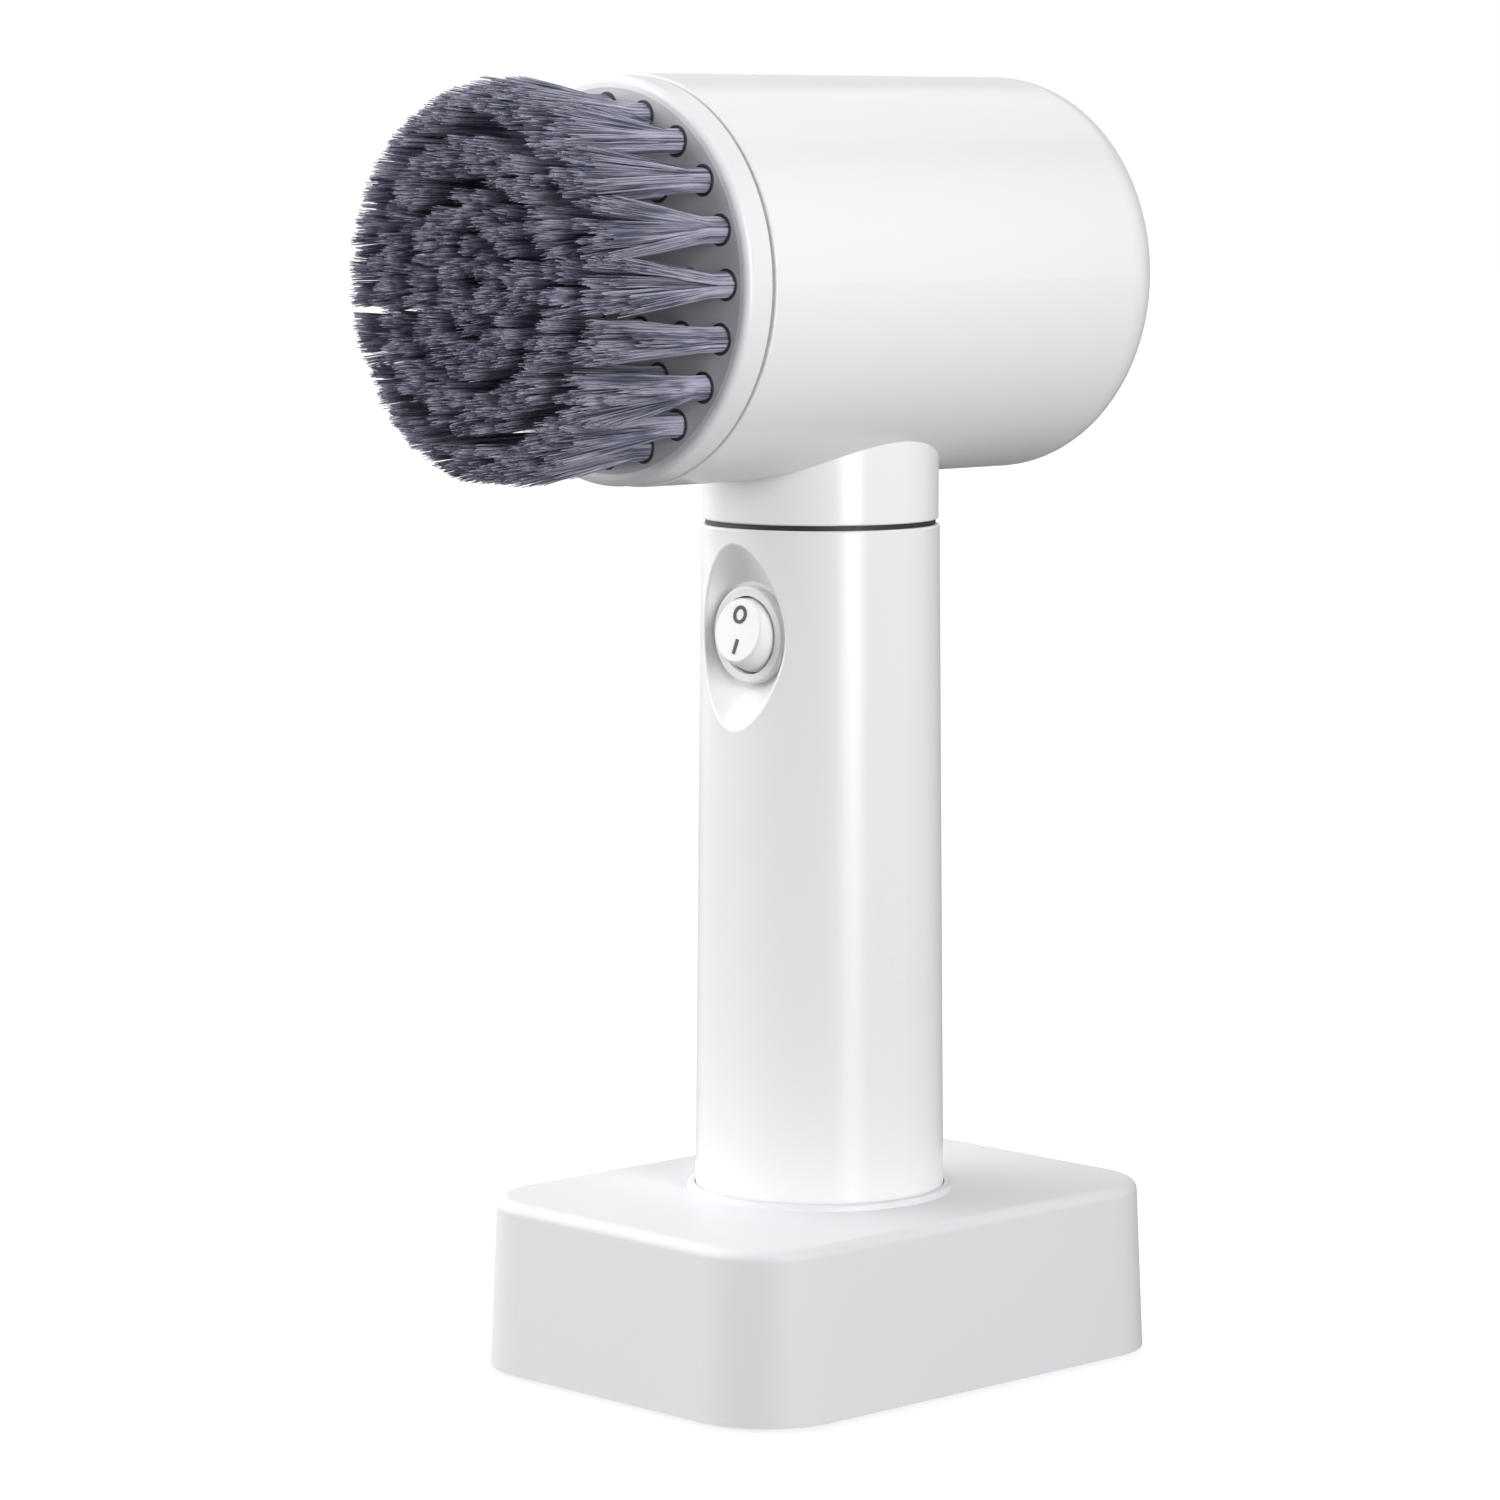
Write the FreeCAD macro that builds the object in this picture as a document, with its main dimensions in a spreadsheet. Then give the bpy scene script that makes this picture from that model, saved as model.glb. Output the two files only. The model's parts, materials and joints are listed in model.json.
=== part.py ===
"""Cordless rotary cleaning brush standing in its charging base.

Frame: millimetres, +Z up. The origin is the centre of the base's underside, on the handle's axis.
The brush head's own axis runs along Y, and the bristles point towards -Y.
"""
import FreeCAD, Part
import math
import os
import Sketcher

RING_TOLERANCE = 0.01
PROBE_OFFSET = 1000
PRESSURE = math.radians(25)
FLANK_STEPS = 4
STUB_ADDENDUM = 0.8
SUN_TEETH = 12
PLANET_TEETH = 18
RING_TEETH = 48
PLANETS = 3
LEAD_REACH = 0.45
SCREW_CORNERS = ((1, 1), (-1, 1), (-1, -1), (1, -1))
COVER_SCREW_ANGLES = (45, 135, 225, 315)
CASE_SCREW_ANGLES = (60, 180, 300)
MOTOR_SCREW_ANGLES = (30, 210)
SIDES = ((-1, "left"), (1, "right"))
CHIPS = ((6, 6, 0, 112), (4, 3, -6, 106), (3, 5, 6, 105))  # width, height, X and Z of each chip
TUFTS = {"outer": 20, "middle": 14, "inner": 8, "centre": 3}

V = FreeCAD.Vector
doc = FreeCAD.newDocument("cleaning_brush")
sheet = doc.addObject("Spreadsheet::Sheet", "dims")
nodes = []

DIMENSIONS = [
    # charging base
    ("pad_proud", 0.6, "anti-slip pad stands this far below the shell"),
    ("base_height", 27.9, "top face of the base"),
    ("base_wide", 71.6, "X size at the bottom of the shell"),
    ("base_long", 93.8, "Y size at the bottom of the shell"),
    ("base_corner", 14.0, "vertical corner radius"),
    ("base_taper", 2.46, "draft of the side walls in degrees"),
    ("base_edge", 1.8, "rounding of the top edge"),
    ("base_wall", 2.2, "wall and roof"),
    ("floor_top", 2.8, "top of the floor plate"),
    ("foot_top", 5.0, "top of the charging board"),
    ("pilot_depth", 9.0, "pilot holes and the shanks of the base and cap screws"),
    ("screw_head", 2.6, "heads of the base screws"),
    ("head_gap", 0.1, "clearance around a sunk screw head"),
    ("fit_gap", 0.4, "clearance of the floor plate and of the mat's recess"),
    ("inlet_height", 6.7, "middle of the charging inlet"),
    ("inlet_wide", 8.3, "opening of the charging inlet"),
    ("inlet_high", 2.6, "opening of the charging inlet"),
    ("inlet_front", 38.9, "inner end of the charging inlet"),
    ("inlet_length", 7.3, "charging inlet"),
    ("inlet_sheet", 0.3, "sheet metal of the charging inlet"),
    ("weight_y", -33.0, "middle of the steel weight"),
    ("board_y", 17.0, "middle of the charging board"),
    ("stand_radius", 2.0, "stands of the charging board"),
    ("sleeve_radius", 1.7, "sleeves of the spring contact pins"),
    ("tip_length", 2.3, "spring contact pins"),
    ("coil_radius", 0.7, "springs under the contact pins"),
    ("coil_pitch", 0.42, "springs under the contact pins"),
    ("coil_height", 1.5, "springs under the contact pins"),
    ("coil_wire", 0.1, "wire radius of the springs"),
    ("board_wide", 26.0, "charging board"),
    ("board_long", 54.0, "charging board"),
    ("weight_wide", 42.0, "steel weight"),
    ("weight_long", 14.0, "steel weight"),
    ("weight_tall", 9.0, "steel weight"),
    ("weight_corner", 3.0, "steel weight"),
    ("tongue_wide", 6.7, "tongue in the charging inlet"),
    ("tongue_thick", 0.7, "tongue in the charging inlet"),
    ("coil_lift", 0.12, "first turn of a spring above the board"),
    ("collar_rise", 1.0, "height of the lip around the well"),
    ("collar_spread", 1.2, "width of the lip at its foot"),
    ("collar_top", 0.95, "width of the lip at its top"),
    ("collar_round", 0.45, "rounding of the lip's outer rim"),
    ("well_radius", 20.15, "bore that the handle stands in"),
    ("well_floor", 9.0, "top of the well's floor"),
    ("well_wall", 2.0, "wall and floor of the well"),
    ("boss_radius", 3.2, "screw bosses of the base"),
    ("boss_x", 25.5, "screw bosses from the middle"),
    ("boss_y", 36.0, "screw bosses from the middle"),
    ("floor_plate", 2.2, "floor plate thickness"),
    ("mat_thickness", 1.4, "anti-slip pad"),
    ("mat_wide", 50.0, "anti-slip pad, X"),
    ("mat_long", 70.0, "anti-slip pad, Y"),
    ("mat_corner", 8.0, "anti-slip pad"),
    # handle
    ("handle_foot", 9.1, "lowest point of the handle in the well"),
    ("handle_low_radius", 20.0, "handle at and below the base's top"),
    ("handle_top_radius", 19.0, "handle at the neck seam"),
    ("handle_top", 135.1, "upper end of the handle tube"),
    ("handle_bore", 17.2, "inside of the handle tube"),
    ("seam_gap", 0.8, "dark seal ring between handle and neck"),
    ("seam_depth", 0.45, "seal ring behind the surface of the neck"),
    ("pad_low", 17.0, "lower end of the switch pad below the switch"),
    ("pad_tall", 29.4, "switch pad inside the handle"),
    ("pad_back", -11.5, "rear face of the switch pad"),
    ("pad_wide", 24.0, "switch pad"),
    ("pad_deep", 8.0, "block that the pad is cut from"),
    ("foot_edge", 0.8, "rounding of the handle's foot"),
    ("seam_edge", 0.35, "rounding of the handle at the neck seam"),
    ("dish_edge", 0.5, "rounding of the dish's rim and of the switch flange"),
    # head
    ("head_height", 174.2, "height of the head's axis"),
    ("head_radius", 31.6, "outside of the head"),
    ("head_wall", 2.2, "wall of the head"),
    ("head_front", -40.3, "front rim of the head housing"),
    ("head_back", 48.2, "rearmost point of the head housing"),
    ("head_shoulder", 9.0, "rounding of the rear edge"),
    ("rim_edge", 0.3, "rounding of the rims that meet at the head's front and at the neck"),
    ("neck_radius", 18.8, "neck collar below the head"),
    ("neck_bore", 14.9, "way through the neck collar"),
    ("neck_plug", 16.9, "plug of the neck collar that sits in the head's wall"),
    ("neck_plug_top", 23.5, "top of that plug, below the head's axis"),
    ("bond_gap", 0.05, "adhesive gap around the plug"),
    ("spigot_length", 5.0, "neck spigot inside the handle"),
    # brush
    ("disc_back", -40.7, "rear face of the brush disc"),
    ("disc_radius", 31.3, "brush disc"),
    ("disc_thickness", 5.0, "brush disc"),
    ("disc_edge", 1.2, "rounding of the disc's front rim"),
    ("plate_radius", 29.4, "grey plate that holds the tufts"),
    ("plate_thickness", 1.4, "tuft plate"),
    ("hub_radius", 8.4, "hub behind the brush disc"),
    ("hub_length", 4.0, "hub behind the brush disc"),
    ("socket_floor", 1.6, "front of the disc ahead of the shaft's socket"),
    ("tuft_root", 2.1, "tuft radius at the plate"),
    ("tuft_tip", 3.75, "tuft radius at the tips"),
    ("tuft_length", 30.3, "length of the inner tufts"),
    ("rim_tuft_length", 27.6, "length of the outermost tufts"),
    ("ring_outer", 26.3, "radius of the outer ring of tufts"),
    ("ring_middle", 18.4, "radius of the middle ring"),
    ("ring_inner", 10.6, "radius of the inner ring"),
    ("ring_centre", 4.4, "radius of the three centre tufts"),
    # drive
    ("shaft_radius", 4.0, "output shaft"),
    ("shaft_flat", 3.2, "D flat from the shaft's axis"),
    ("running_gap", 0.04, "radial clearance of running fits"),
    ("bush_radius", 6.0, "outside of the output bush"),
    ("cover_front", -36.0, "front face of the gearbox cover"),
    ("cover_thickness", 3.0, "gearbox cover"),
    ("cover_boss", 9.0, "boss around the output bush"),
    ("case_radius", 20.0, "gear case"),
    ("case_back", -8.6, "rear end of the gear case"),
    ("case_bore", 15.4, "gear case in front of the teeth"),
    ("teeth_front", -26.9, "front end of the ring gear's teeth"),
    ("gear_module", 0.6, "module of every gear"),
    ("tooth_thinning", 0.05, "taken off each flank for backlash"),
    ("carrier_radius", 13.3, "planet carriers"),
    ("planet_width", 5.0, "planet gears"),
    ("pin_radius", 1.5, "planet pins and motor shaft"),
    ("case_screw_ring", 17.6, "radius of the three long gearbox screws"),
    ("cover_head", 2.5, "heads of the cover screws"),
    ("cover_head_tall", 1.7, "heads of the cover screws"),
    ("long_head", 2.1, "heads of the long gearbox screws"),
    ("long_head_tall", 1.6, "heads of the long gearbox screws"),
    ("screw_radius", 1.2, "thread of the gearbox and case screws"),
    ("cover_screw_ring", 26.4, "radius of the four cover screws"),
    ("cover_gap", 0.2, "clearance between gearbox cover and head"),
    ("cover_boss_long", 6.0, "length of the boss around the output bush"),
    ("post_radius", 3.3, "posts for the cover screws"),
    ("post_length", 15.0, "posts for the cover screws"),
    ("seal_length", 3.4, "shaft seal"),
    ("bush_length", 5.4, "output bush"),
    ("carrier_front", -26.6, "front face of the output carrier"),
    ("carrier_thickness", 3.1, "output carrier"),
    ("first_front", -17.5, "front face of the first carrier"),
    ("first_thickness", 2.5, "first carrier"),
    ("pin_reach", 5.4, "planet pins behind their carrier"),
    ("planet_gap", 0.2, "play between a carrier and its planets"),
    ("sun_front", -23.0, "front end of the second sun gear"),
    ("sun_width", 5.5, "second sun gear"),
    ("pinion_front", -14.5, "front end of the motor's pinion"),
    ("pinion_width", 5.6, "motor pinion"),
    ("motor_radius", 13.85, "motor can"),
    ("motor_length", 37.8, "motor can with its end cap"),
    ("motor_plate", 2.0, "plate between gear case and motor"),
    ("plate_way", 5.0, "way for the pinion through that plate"),
    ("motor_screw_ring", 10.5, "radius of the two motor screws"),
    ("motor_screw", 3.2, "length of the motor screws"),
    ("end_cap", 4.0, "thickness of the motor's end cap"),
    ("motor_nose", 3.0, "bushes of the motor, outside"),
    ("terminal_x", 9.5, "motor terminals from the middle"),
    ("can_sheet", 1.0, "sheet metal of the motor can"),
    ("can_edge", 1.2, "rounding of the motor can's front"),
    ("cap_boss", 6.0, "bearing boss on the motor's end cap"),
    ("cap_boss_tall", 2.0, "bearing boss on the motor's end cap"),
    ("rear_bush", 4.5, "rear bush of the motor"),
    ("terminal_thick", 0.6, "motor terminals"),
    ("terminal_tall", 2.8, "motor terminals"),
    ("magnet_inside", 10.25, "inner radius of the magnets"),
    ("magnet_front", 6.0, "magnets behind the motor's front"),
    ("magnet_length", 24.0, "magnets"),
    ("magnet_slot", 8.0, "space between the two magnets"),
    ("core_radius", 9.4, "rotor core"),
    ("core_front", 7.5, "rotor core behind the motor's front"),
    ("core_length", 21.0, "rotor core"),
    ("commutator_long", 3.5, "commutator"),
    ("lead_radius", 0.8, "motor leads with their insulation"),
    ("lead_bend", 6.0, "straight start of the leads behind the motor"),
    ("lead_drop", 20.0, "leads turn down this far below the head's axis"),
    ("lead_y", 7.0, "leads in the handle, towards the back"),
    ("lead_end", 127.0, "lower end of the leads, on the control board"),
    # switch
    ("switch_height", 118.2, "centre of the rocker switch"),
    ("flange_front", -16.1, "front face of the switch flange"),
    ("flange_radius", 7.8, "switch flange"),
    ("flange_thickness", 1.3, "switch flange"),
    ("barrel_radius", 7.0, "switch body behind the flange"),
    ("barrel_back", -4.0, "rear end of the switch body"),
    ("window_radius", 6.2, "opening that the rocker moves in"),
    ("rocker_face", 5.1, "radius of the rocker's front face"),
    ("rocker_base", 6.05, "radius of the rocker at its pivot"),
    ("rocker_reach", 4.25, "front face of the rocker ahead of its pivot"),
    ("rocker_tilt", 11.5, "half of the rocker's travel in degrees"),
    ("pivot_depth", -14.0, "rocker pivot"),
    ("pivot_radius", 0.8, "pivot pins of the rocker"),
    ("blade_wide", 4.8, "terminals of the switch"),
    ("blade_long", 7.0, "terminals of the switch"),
    ("blade_thick", 0.8, "terminals of the switch"),
    ("rocker_edge", 0.45, "rounding of the rocker's front face"),
    ("rocker_heel", 1.2, "rocker behind its pivot"),
    ("mark_outer", 1.45, "round mark"),
    ("mark_inner", 0.9, "round mark"),
    ("mark_place", 2.54, "marks from the middle of the rocker"),
    ("bar_wide", 0.6, "straight mark"),
    ("bar_tall", 2.4, "straight mark"),
    ("mark_depth", 0.12, "printed marks stand this far above the rocker"),
    ("dish_floor_radius", 8.3, "flat floor of the dish around the flange"),
    ("dish_mouth", -19.6, "plane in front of the handle where the dish's outline is drawn"),
    ("dish_tall", 15.35, "half of the dish's outline, Z"),
    ("dish_wide", 9.9, "half of the dish's outline, X"),
    # inside the handle
    ("cell_radius", 9.2, "battery cell"),
    ("cell_length", 65.0, "battery cell"),
    ("cell_bottom", 32.0, "lower end of the cell"),
    ("contact_spread", 6.0, "charge contacts from the middle"),
    ("plunger_radius", 1.0, "spring contact pins"),
    ("cell_nub", 2.8, "positive end of the cell"),
    ("cell_nub_tall", 1.2, "positive end of the cell"),
    ("cell_edge", 0.6, "rounding of the cell's ends"),
    ("plate_sheet", 0.4, "contact plates at the cell's ends"),
    ("plate_disc", 6.0, "contact plates at the cell's ends"),
    ("cradle_radius", 12.0, "battery cradle"),
    ("cradle_end", 2.0, "end walls of the battery cradle"),
    ("cradle_foot", 17.1, "lower end of the cradle's feet"),
    ("cap_thickness", 5.0, "bottom cap"),
    ("cap_screw_y", 10.0, "cap screws from the middle"),
    ("contact_radius", 2.2, "charge contacts, and the heads of the cap screws"),
    ("contact_length", 5.8, "charge contacts"),
    ("seal_lift", 1.9, "groove of the bottom seal above the handle's foot"),
    ("seal_tall", 1.6, "bottom seal"),
    ("seal_deep", 1.2, "bottom seal"),
    ("control_y", 8.0, "middle of the control board"),
    ("control_low", 101.0, "lower end of the control board"),
    ("control_tall", 26.0, "control board"),
    ("control_wide", 22.0, "control board"),
    ("chip_thick", 1.2, "chips on the control board"),
    ("board_height", 3.4, "underside of the charging board"),
    ("board_thickness", 1.6, "circuit boards"),
]


def fill_sheet():
    for row, (alias, value, note) in enumerate(DIMENSIONS, start=1):
        sheet.set("A%d" % row, alias)
        sheet.set("B%d" % row, str(value))
        sheet.set("C%d" % row, note)
        sheet.setAlias("B%d" % row, alias)
    doc.recompute()


def size(expression):
    """Value in millimetres of a plain sum or product of sheet cells."""
    probe.setExpression("Length", text(expression) + " + %g" % PROBE_OFFSET)
    doc.recompute([probe])
    return probe.Length.Value - PROBE_OFFSET


def text(expression):
    """Turn words such as 'head_back - head_wall' into references to the sheet's cells."""
    words = str(expression).replace("(", " ( ").replace(")", " ) ").split()
    aliases = {alias for alias, value, note in DIMENSIONS}
    return " ".join("dims." + word if word in aliases else word for word in words)


def bind(thing, **sizes):
    for name, expression in sizes.items():
        thing.setExpression(name, text(expression))


TURNS = {
    "Z": FreeCAD.Rotation(V(0, 0, 1), 0),
    "Y": FreeCAD.Rotation(V(1, 0, 0), -90),
    "X": FreeCAD.Rotation(V(0, 1, 0), 90),
}


def place(thing, at, along="Z"):
    """Put an object's own Z axis along X, Y or Z of the model, with its origin at three expressions."""
    thing.Placement = FreeCAD.Placement(V(0, 0, 0), TURNS[along])
    for axis, expression in zip("xyz", at):
        thing.setExpression("Placement.Base." + axis, text(expression))
    return thing


def cylinder(label, radius, length, at, along="Z"):
    thing = doc.addObject("Part::Cylinder", label)
    bind(thing, Radius=radius, Height=length)
    return place(thing, at, along)


def cone(label, near, far, length, at, along="Z"):
    thing = doc.addObject("Part::Cone", label)
    bind(thing, Radius1=near, Radius2=far, Height=length)
    return place(thing, at, along)


def box(label, sizes, middle):
    """Box of three sizes around a middle point; the third place value is the box's underside."""
    thing = doc.addObject("Part::Box", label)
    bind(thing, Length=sizes[0], Width=sizes[1], Height=sizes[2])
    corner = ("%s - ( %s ) / 2" % (middle[0], sizes[0]), "%s - ( %s ) / 2" % (middle[1], sizes[1]), middle[2])
    return place(thing, corner)


def block(label, sizes):
    """Box with one corner at the origin, to be placed by hand."""
    thing = doc.addObject("Part::Box", label)
    bind(thing, Length=sizes[0], Width=sizes[1], Height=sizes[2])
    return thing


def fuse(label, parts):
    thing = doc.addObject("Part::MultiFuse", label)
    thing.Shapes = parts
    thing.Refine = True
    return thing


def cut(label, base, tools):
    thing = doc.addObject("Part::Cut", label)
    thing.Base = base
    thing.Tool = tools[0] if len(tools) == 1 else fuse(label + "_tools", tools)
    thing.Refine = True
    return thing


def common(label, first, second):
    thing = doc.addObject("Part::Common", label)
    thing.Base = first
    thing.Tool = second
    return thing


def group(label, parts):
    """Several separate solids that share one node."""
    thing = doc.addObject("Part::Compound", label)
    thing.Links = parts
    return thing


def tube(label, outer, inner, length, at, along="Z"):
    hole = cylinder(label + "_hole", inner, length, at, along)
    return cut(label, cylinder(label + "_blank", outer, length, at, along), [hole])


def around(radius, angle, y):
    """A place in the head, at an angle around its axis: 0 is +X, 90 is down."""
    x = "%s * %.9f" % (radius, math.cos(math.radians(angle)))
    z = "head_height - %s * %.9f" % (radius, math.sin(math.radians(angle)))
    return (x, y, z)


def keep(thing, node):
    thing.Label = node
    nodes.append(thing)
    return thing


def turned(label, outline, along="Z", at=(0, 0, 0), rims=()):
    """Body of revolution: the outline's points are (radius, height) expressions along its axis.
    Each rim is (index of an outline point, rounding)."""
    body = doc.addObject("PartDesign::Body", label)
    sketch = body.newObject("Sketcher::SketchObject", label + "_outline")
    planes = [plane for plane in body.Origin.OriginFeatures if plane.Role == "XZ_Plane"]
    sketch.AttachmentSupport = [(planes[0], "")]
    sketch.MapMode = "FlatFace"
    points = [(size(radius), size(height)) for radius, height in outline]
    for index, (radius, height) in enumerate(points):
        after = points[(index + 1) % len(points)]
        sketch.addGeometry(Part.LineSegment(V(radius, height, 0), V(after[0], after[1], 0)), False)
    for index, (radius, height) in enumerate(points):
        sketch.addConstraint(Sketcher.Constraint("Coincident", index - 1 if index else len(points) - 1, 2,
                                                 index, 1))
        for kind, value, expression in (("X", radius, outline[index][0]), ("Y", height, outline[index][1])):
            rule = Sketcher.Constraint("Distance" + kind, -1, 1, index, 1, value)
            name = "%s%d" % (kind.lower(), index)
            sketch.renameConstraint(sketch.addConstraint(rule), name)
            sketch.setExpression("Constraints." + name, text(expression) + " + 0")
    turn = body.newObject("PartDesign::Revolution", label + "_turn")
    turn.Profile = sketch
    turn.ReferenceAxis = (sketch, ["V_Axis"])
    turn.Angle = 360
    doc.recompute()
    last = turn
    for index, rounding in rims:
        names = ["Edge%d" % number for number, edge in enumerate(last.Shape.Edges, start=1)
                 if is_ring(edge, *points[index])]
        fillet = body.newObject("PartDesign::Fillet", "%s_rim%d" % (label, index))
        fillet.Base = (last, names)
        bind(fillet, Radius=rounding)
        doc.recompute()
        last = fillet
    return place(body, at, along)


def is_ring(edge, radius, height):
    if not hasattr(edge.Curve, "Radius"):
        return False
    centre = edge.Curve.Center
    return abs(edge.Curve.Radius - radius) < RING_TOLERANCE and abs(centre.z - height) < RING_TOLERANCE


def rounded_plate(label, wide, long, corner, thickness, at, taper=0):
    """Rounded rectangle raised along Z; the taper in degrees draws the sides in."""
    blank = doc.addObject("Sketcher::SketchObject", label + "_outline")
    half_x, half_y, radius = size(wide) / 2, size(long) / 2, size(corner)
    corners = [(half_x, half_y, 0), (-half_x, half_y, 90), (-half_x, -half_y, 180), (half_x, -half_y, 270)]
    for x, y, start in corners:
        centre = V(x - math.copysign(radius, x), y - math.copysign(radius, y), 0)
        sweep = (math.radians(start), math.radians(start + 90))
        blank.addGeometry(Part.ArcOfCircle(Part.Circle(centre, V(0, 0, 1), radius), *sweep), False)
    for index in range(4):
        first = blank.Geometry[index].EndPoint
        second = blank.Geometry[(index + 1) % 4].StartPoint
        line = blank.addGeometry(Part.LineSegment(first, second), False)
        blank.addConstraint(Sketcher.Constraint("Tangent", index, 2, line, 1))
        blank.addConstraint(Sketcher.Constraint("Tangent", line, 2, (index + 1) % 4, 1))
        blank.addConstraint(Sketcher.Constraint("Vertical" if index % 2 else "Horizontal", line))
        if index:
            blank.addConstraint(Sketcher.Constraint("Equal", 0, index))
    blank.addConstraint(Sketcher.Constraint("Symmetric", 0, 3, 2, 3, -1, 1))
    rules = (("corner", Sketcher.Constraint("Radius", 0, radius), corner),
             ("wide", Sketcher.Constraint("DistanceX", 1, 2, 0, 1, 2 * half_x), wide),
             ("long", Sketcher.Constraint("DistanceY", 2, 2, 1, 1, 2 * half_y), long))
    for name, rule, expression in rules:
        blank.renameConstraint(blank.addConstraint(rule), name)
        blank.setExpression("Constraints." + name, text(expression))
    place(blank, at)
    plate = doc.addObject("Part::Extrusion", label)
    plate.Base = blank
    plate.DirMode = "Custom"
    plate.Dir = V(0, 0, 1)
    plate.Solid = True
    bind(plate, LengthFwd=thickness)
    if taper:
        bind(plate, TaperAngle="-1 * " + taper)
    return plate


def round_edges(label, base, rounding, wanted):
    """Round the edges of a shape that the function wanted picks out."""
    doc.recompute()
    thing = doc.addObject("Part::Fillet", label)
    thing.Base = base
    amount = size(rounding)
    thing.Edges = [(number, amount, amount) for number, edge in enumerate(base.Shape.Edges, start=1)
                   if wanted(edge)]
    return thing


def tooth_half_angle(radius, teeth, thinning):
    """Half the angle that a tooth fills at a radius, on involute flanks."""
    pitch = size("gear_module") * teeth / 2
    base = pitch * math.cos(PRESSURE)
    slope = math.acos(min(1.0, base / radius))
    return (math.pi / (2 * teeth) + math.tan(PRESSURE) - PRESSURE
            - (math.tan(slope) - slope) - thinning / pitch)


def gear(label, teeth, tip, root, thinning, width, bore, at, turn):
    """Involute gear around its own Z axis, laid along Y. turn is in degrees."""
    base = size("gear_module") * teeth / 2 * math.cos(PRESSURE)
    start = max(root, base)
    radii = [start + (tip - start) * step / FLANK_STEPS for step in range(FLANK_STEPS + 1)]
    halves = [tooth_half_angle(radius, teeth, thinning) for radius in radii]

    def spot(radius, angle):
        return V(radius * math.cos(angle), radius * math.sin(angle), 0)

    edges = []
    for tooth in range(teeth):
        middle = 2 * math.pi * tooth / teeth
        rising = [spot(radius, middle - half) for radius, half in zip(radii, halves)]
        falling = [spot(radius, middle + half) for radius, half in zip(radii, halves)][::-1]
        next_middle = middle + 2 * math.pi / teeth
        low, high = spot(root, middle - halves[0]), spot(root, middle + halves[0])
        if root < start:
            edges.append(Part.makeLine(low, rising[0]))
        for flank in (rising, falling):
            curve = Part.BSplineCurve()
            curve.interpolate(flank)
            edges.append(curve.toShape())
            if flank is rising:
                edges.append(Part.Arc(rising[-1], spot(tip, middle), falling[0]).toShape())
        if root < start:
            edges.append(Part.makeLine(falling[-1], high))
        space = spot(root, (middle + next_middle) / 2)
        edges.append(Part.Arc(high, space, spot(root, next_middle - halves[0])).toShape())
    solid = Part.Face(Part.Wire(edges)).extrude(V(0, 0, width))
    if bore:
        solid = solid.cut(Part.makeCylinder(bore, width))
    thing = doc.addObject("Part::Feature", label)
    thing.Shape = solid
    spin = FreeCAD.Rotation(V(0, 0, 1), turn)
    thing.Placement = FreeCAD.Placement(V(*[size(word) for word in at]), TURNS["Y"].multiply(spin))
    return thing


def outer_gear(label, teeth, width, bore, at, turn=0):
    module = size("gear_module")
    pitch = module * teeth / 2
    return gear(label, teeth, pitch + STUB_ADDENDUM * module, pitch - module, size("tooth_thinning"),
                size(width), size(bore), at, turn)


def wire_run(label, points, radius):
    """Insulated lead along straight runs joined by tangent arcs."""
    spots = [V(*[size(word) for word in point]) for point in points]
    edges = []
    start = spots[0]
    for before, corner, after in zip(spots, spots[1:], spots[2:]):
        inward, outward = (corner - before).normalize(), (after - corner).normalize()
        half_turn = inward.getAngle(outward) / 2
        reach = LEAD_REACH * min((corner - before).Length, (after - corner).Length)
        first, last = corner - inward * reach, corner + outward * reach
        bend = reach / math.tan(half_turn)
        bisector = (outward - inward).normalize()
        middle = corner + bisector * (bend / math.cos(half_turn) - bend)
        edges += [Part.LineSegment(start, first).toShape(), Part.Arc(first, middle, last).toShape()]
        start = last
    edges.append(Part.LineSegment(start, spots[-1]).toShape())
    path = Part.Wire(edges)
    section = Part.Wire(Part.Circle(spots[0], spots[1] - spots[0], radius).toShape())
    thing = doc.addObject("Part::Feature", label)
    thing.Shape = path.makePipeShell([section], True, False)
    return thing


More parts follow.
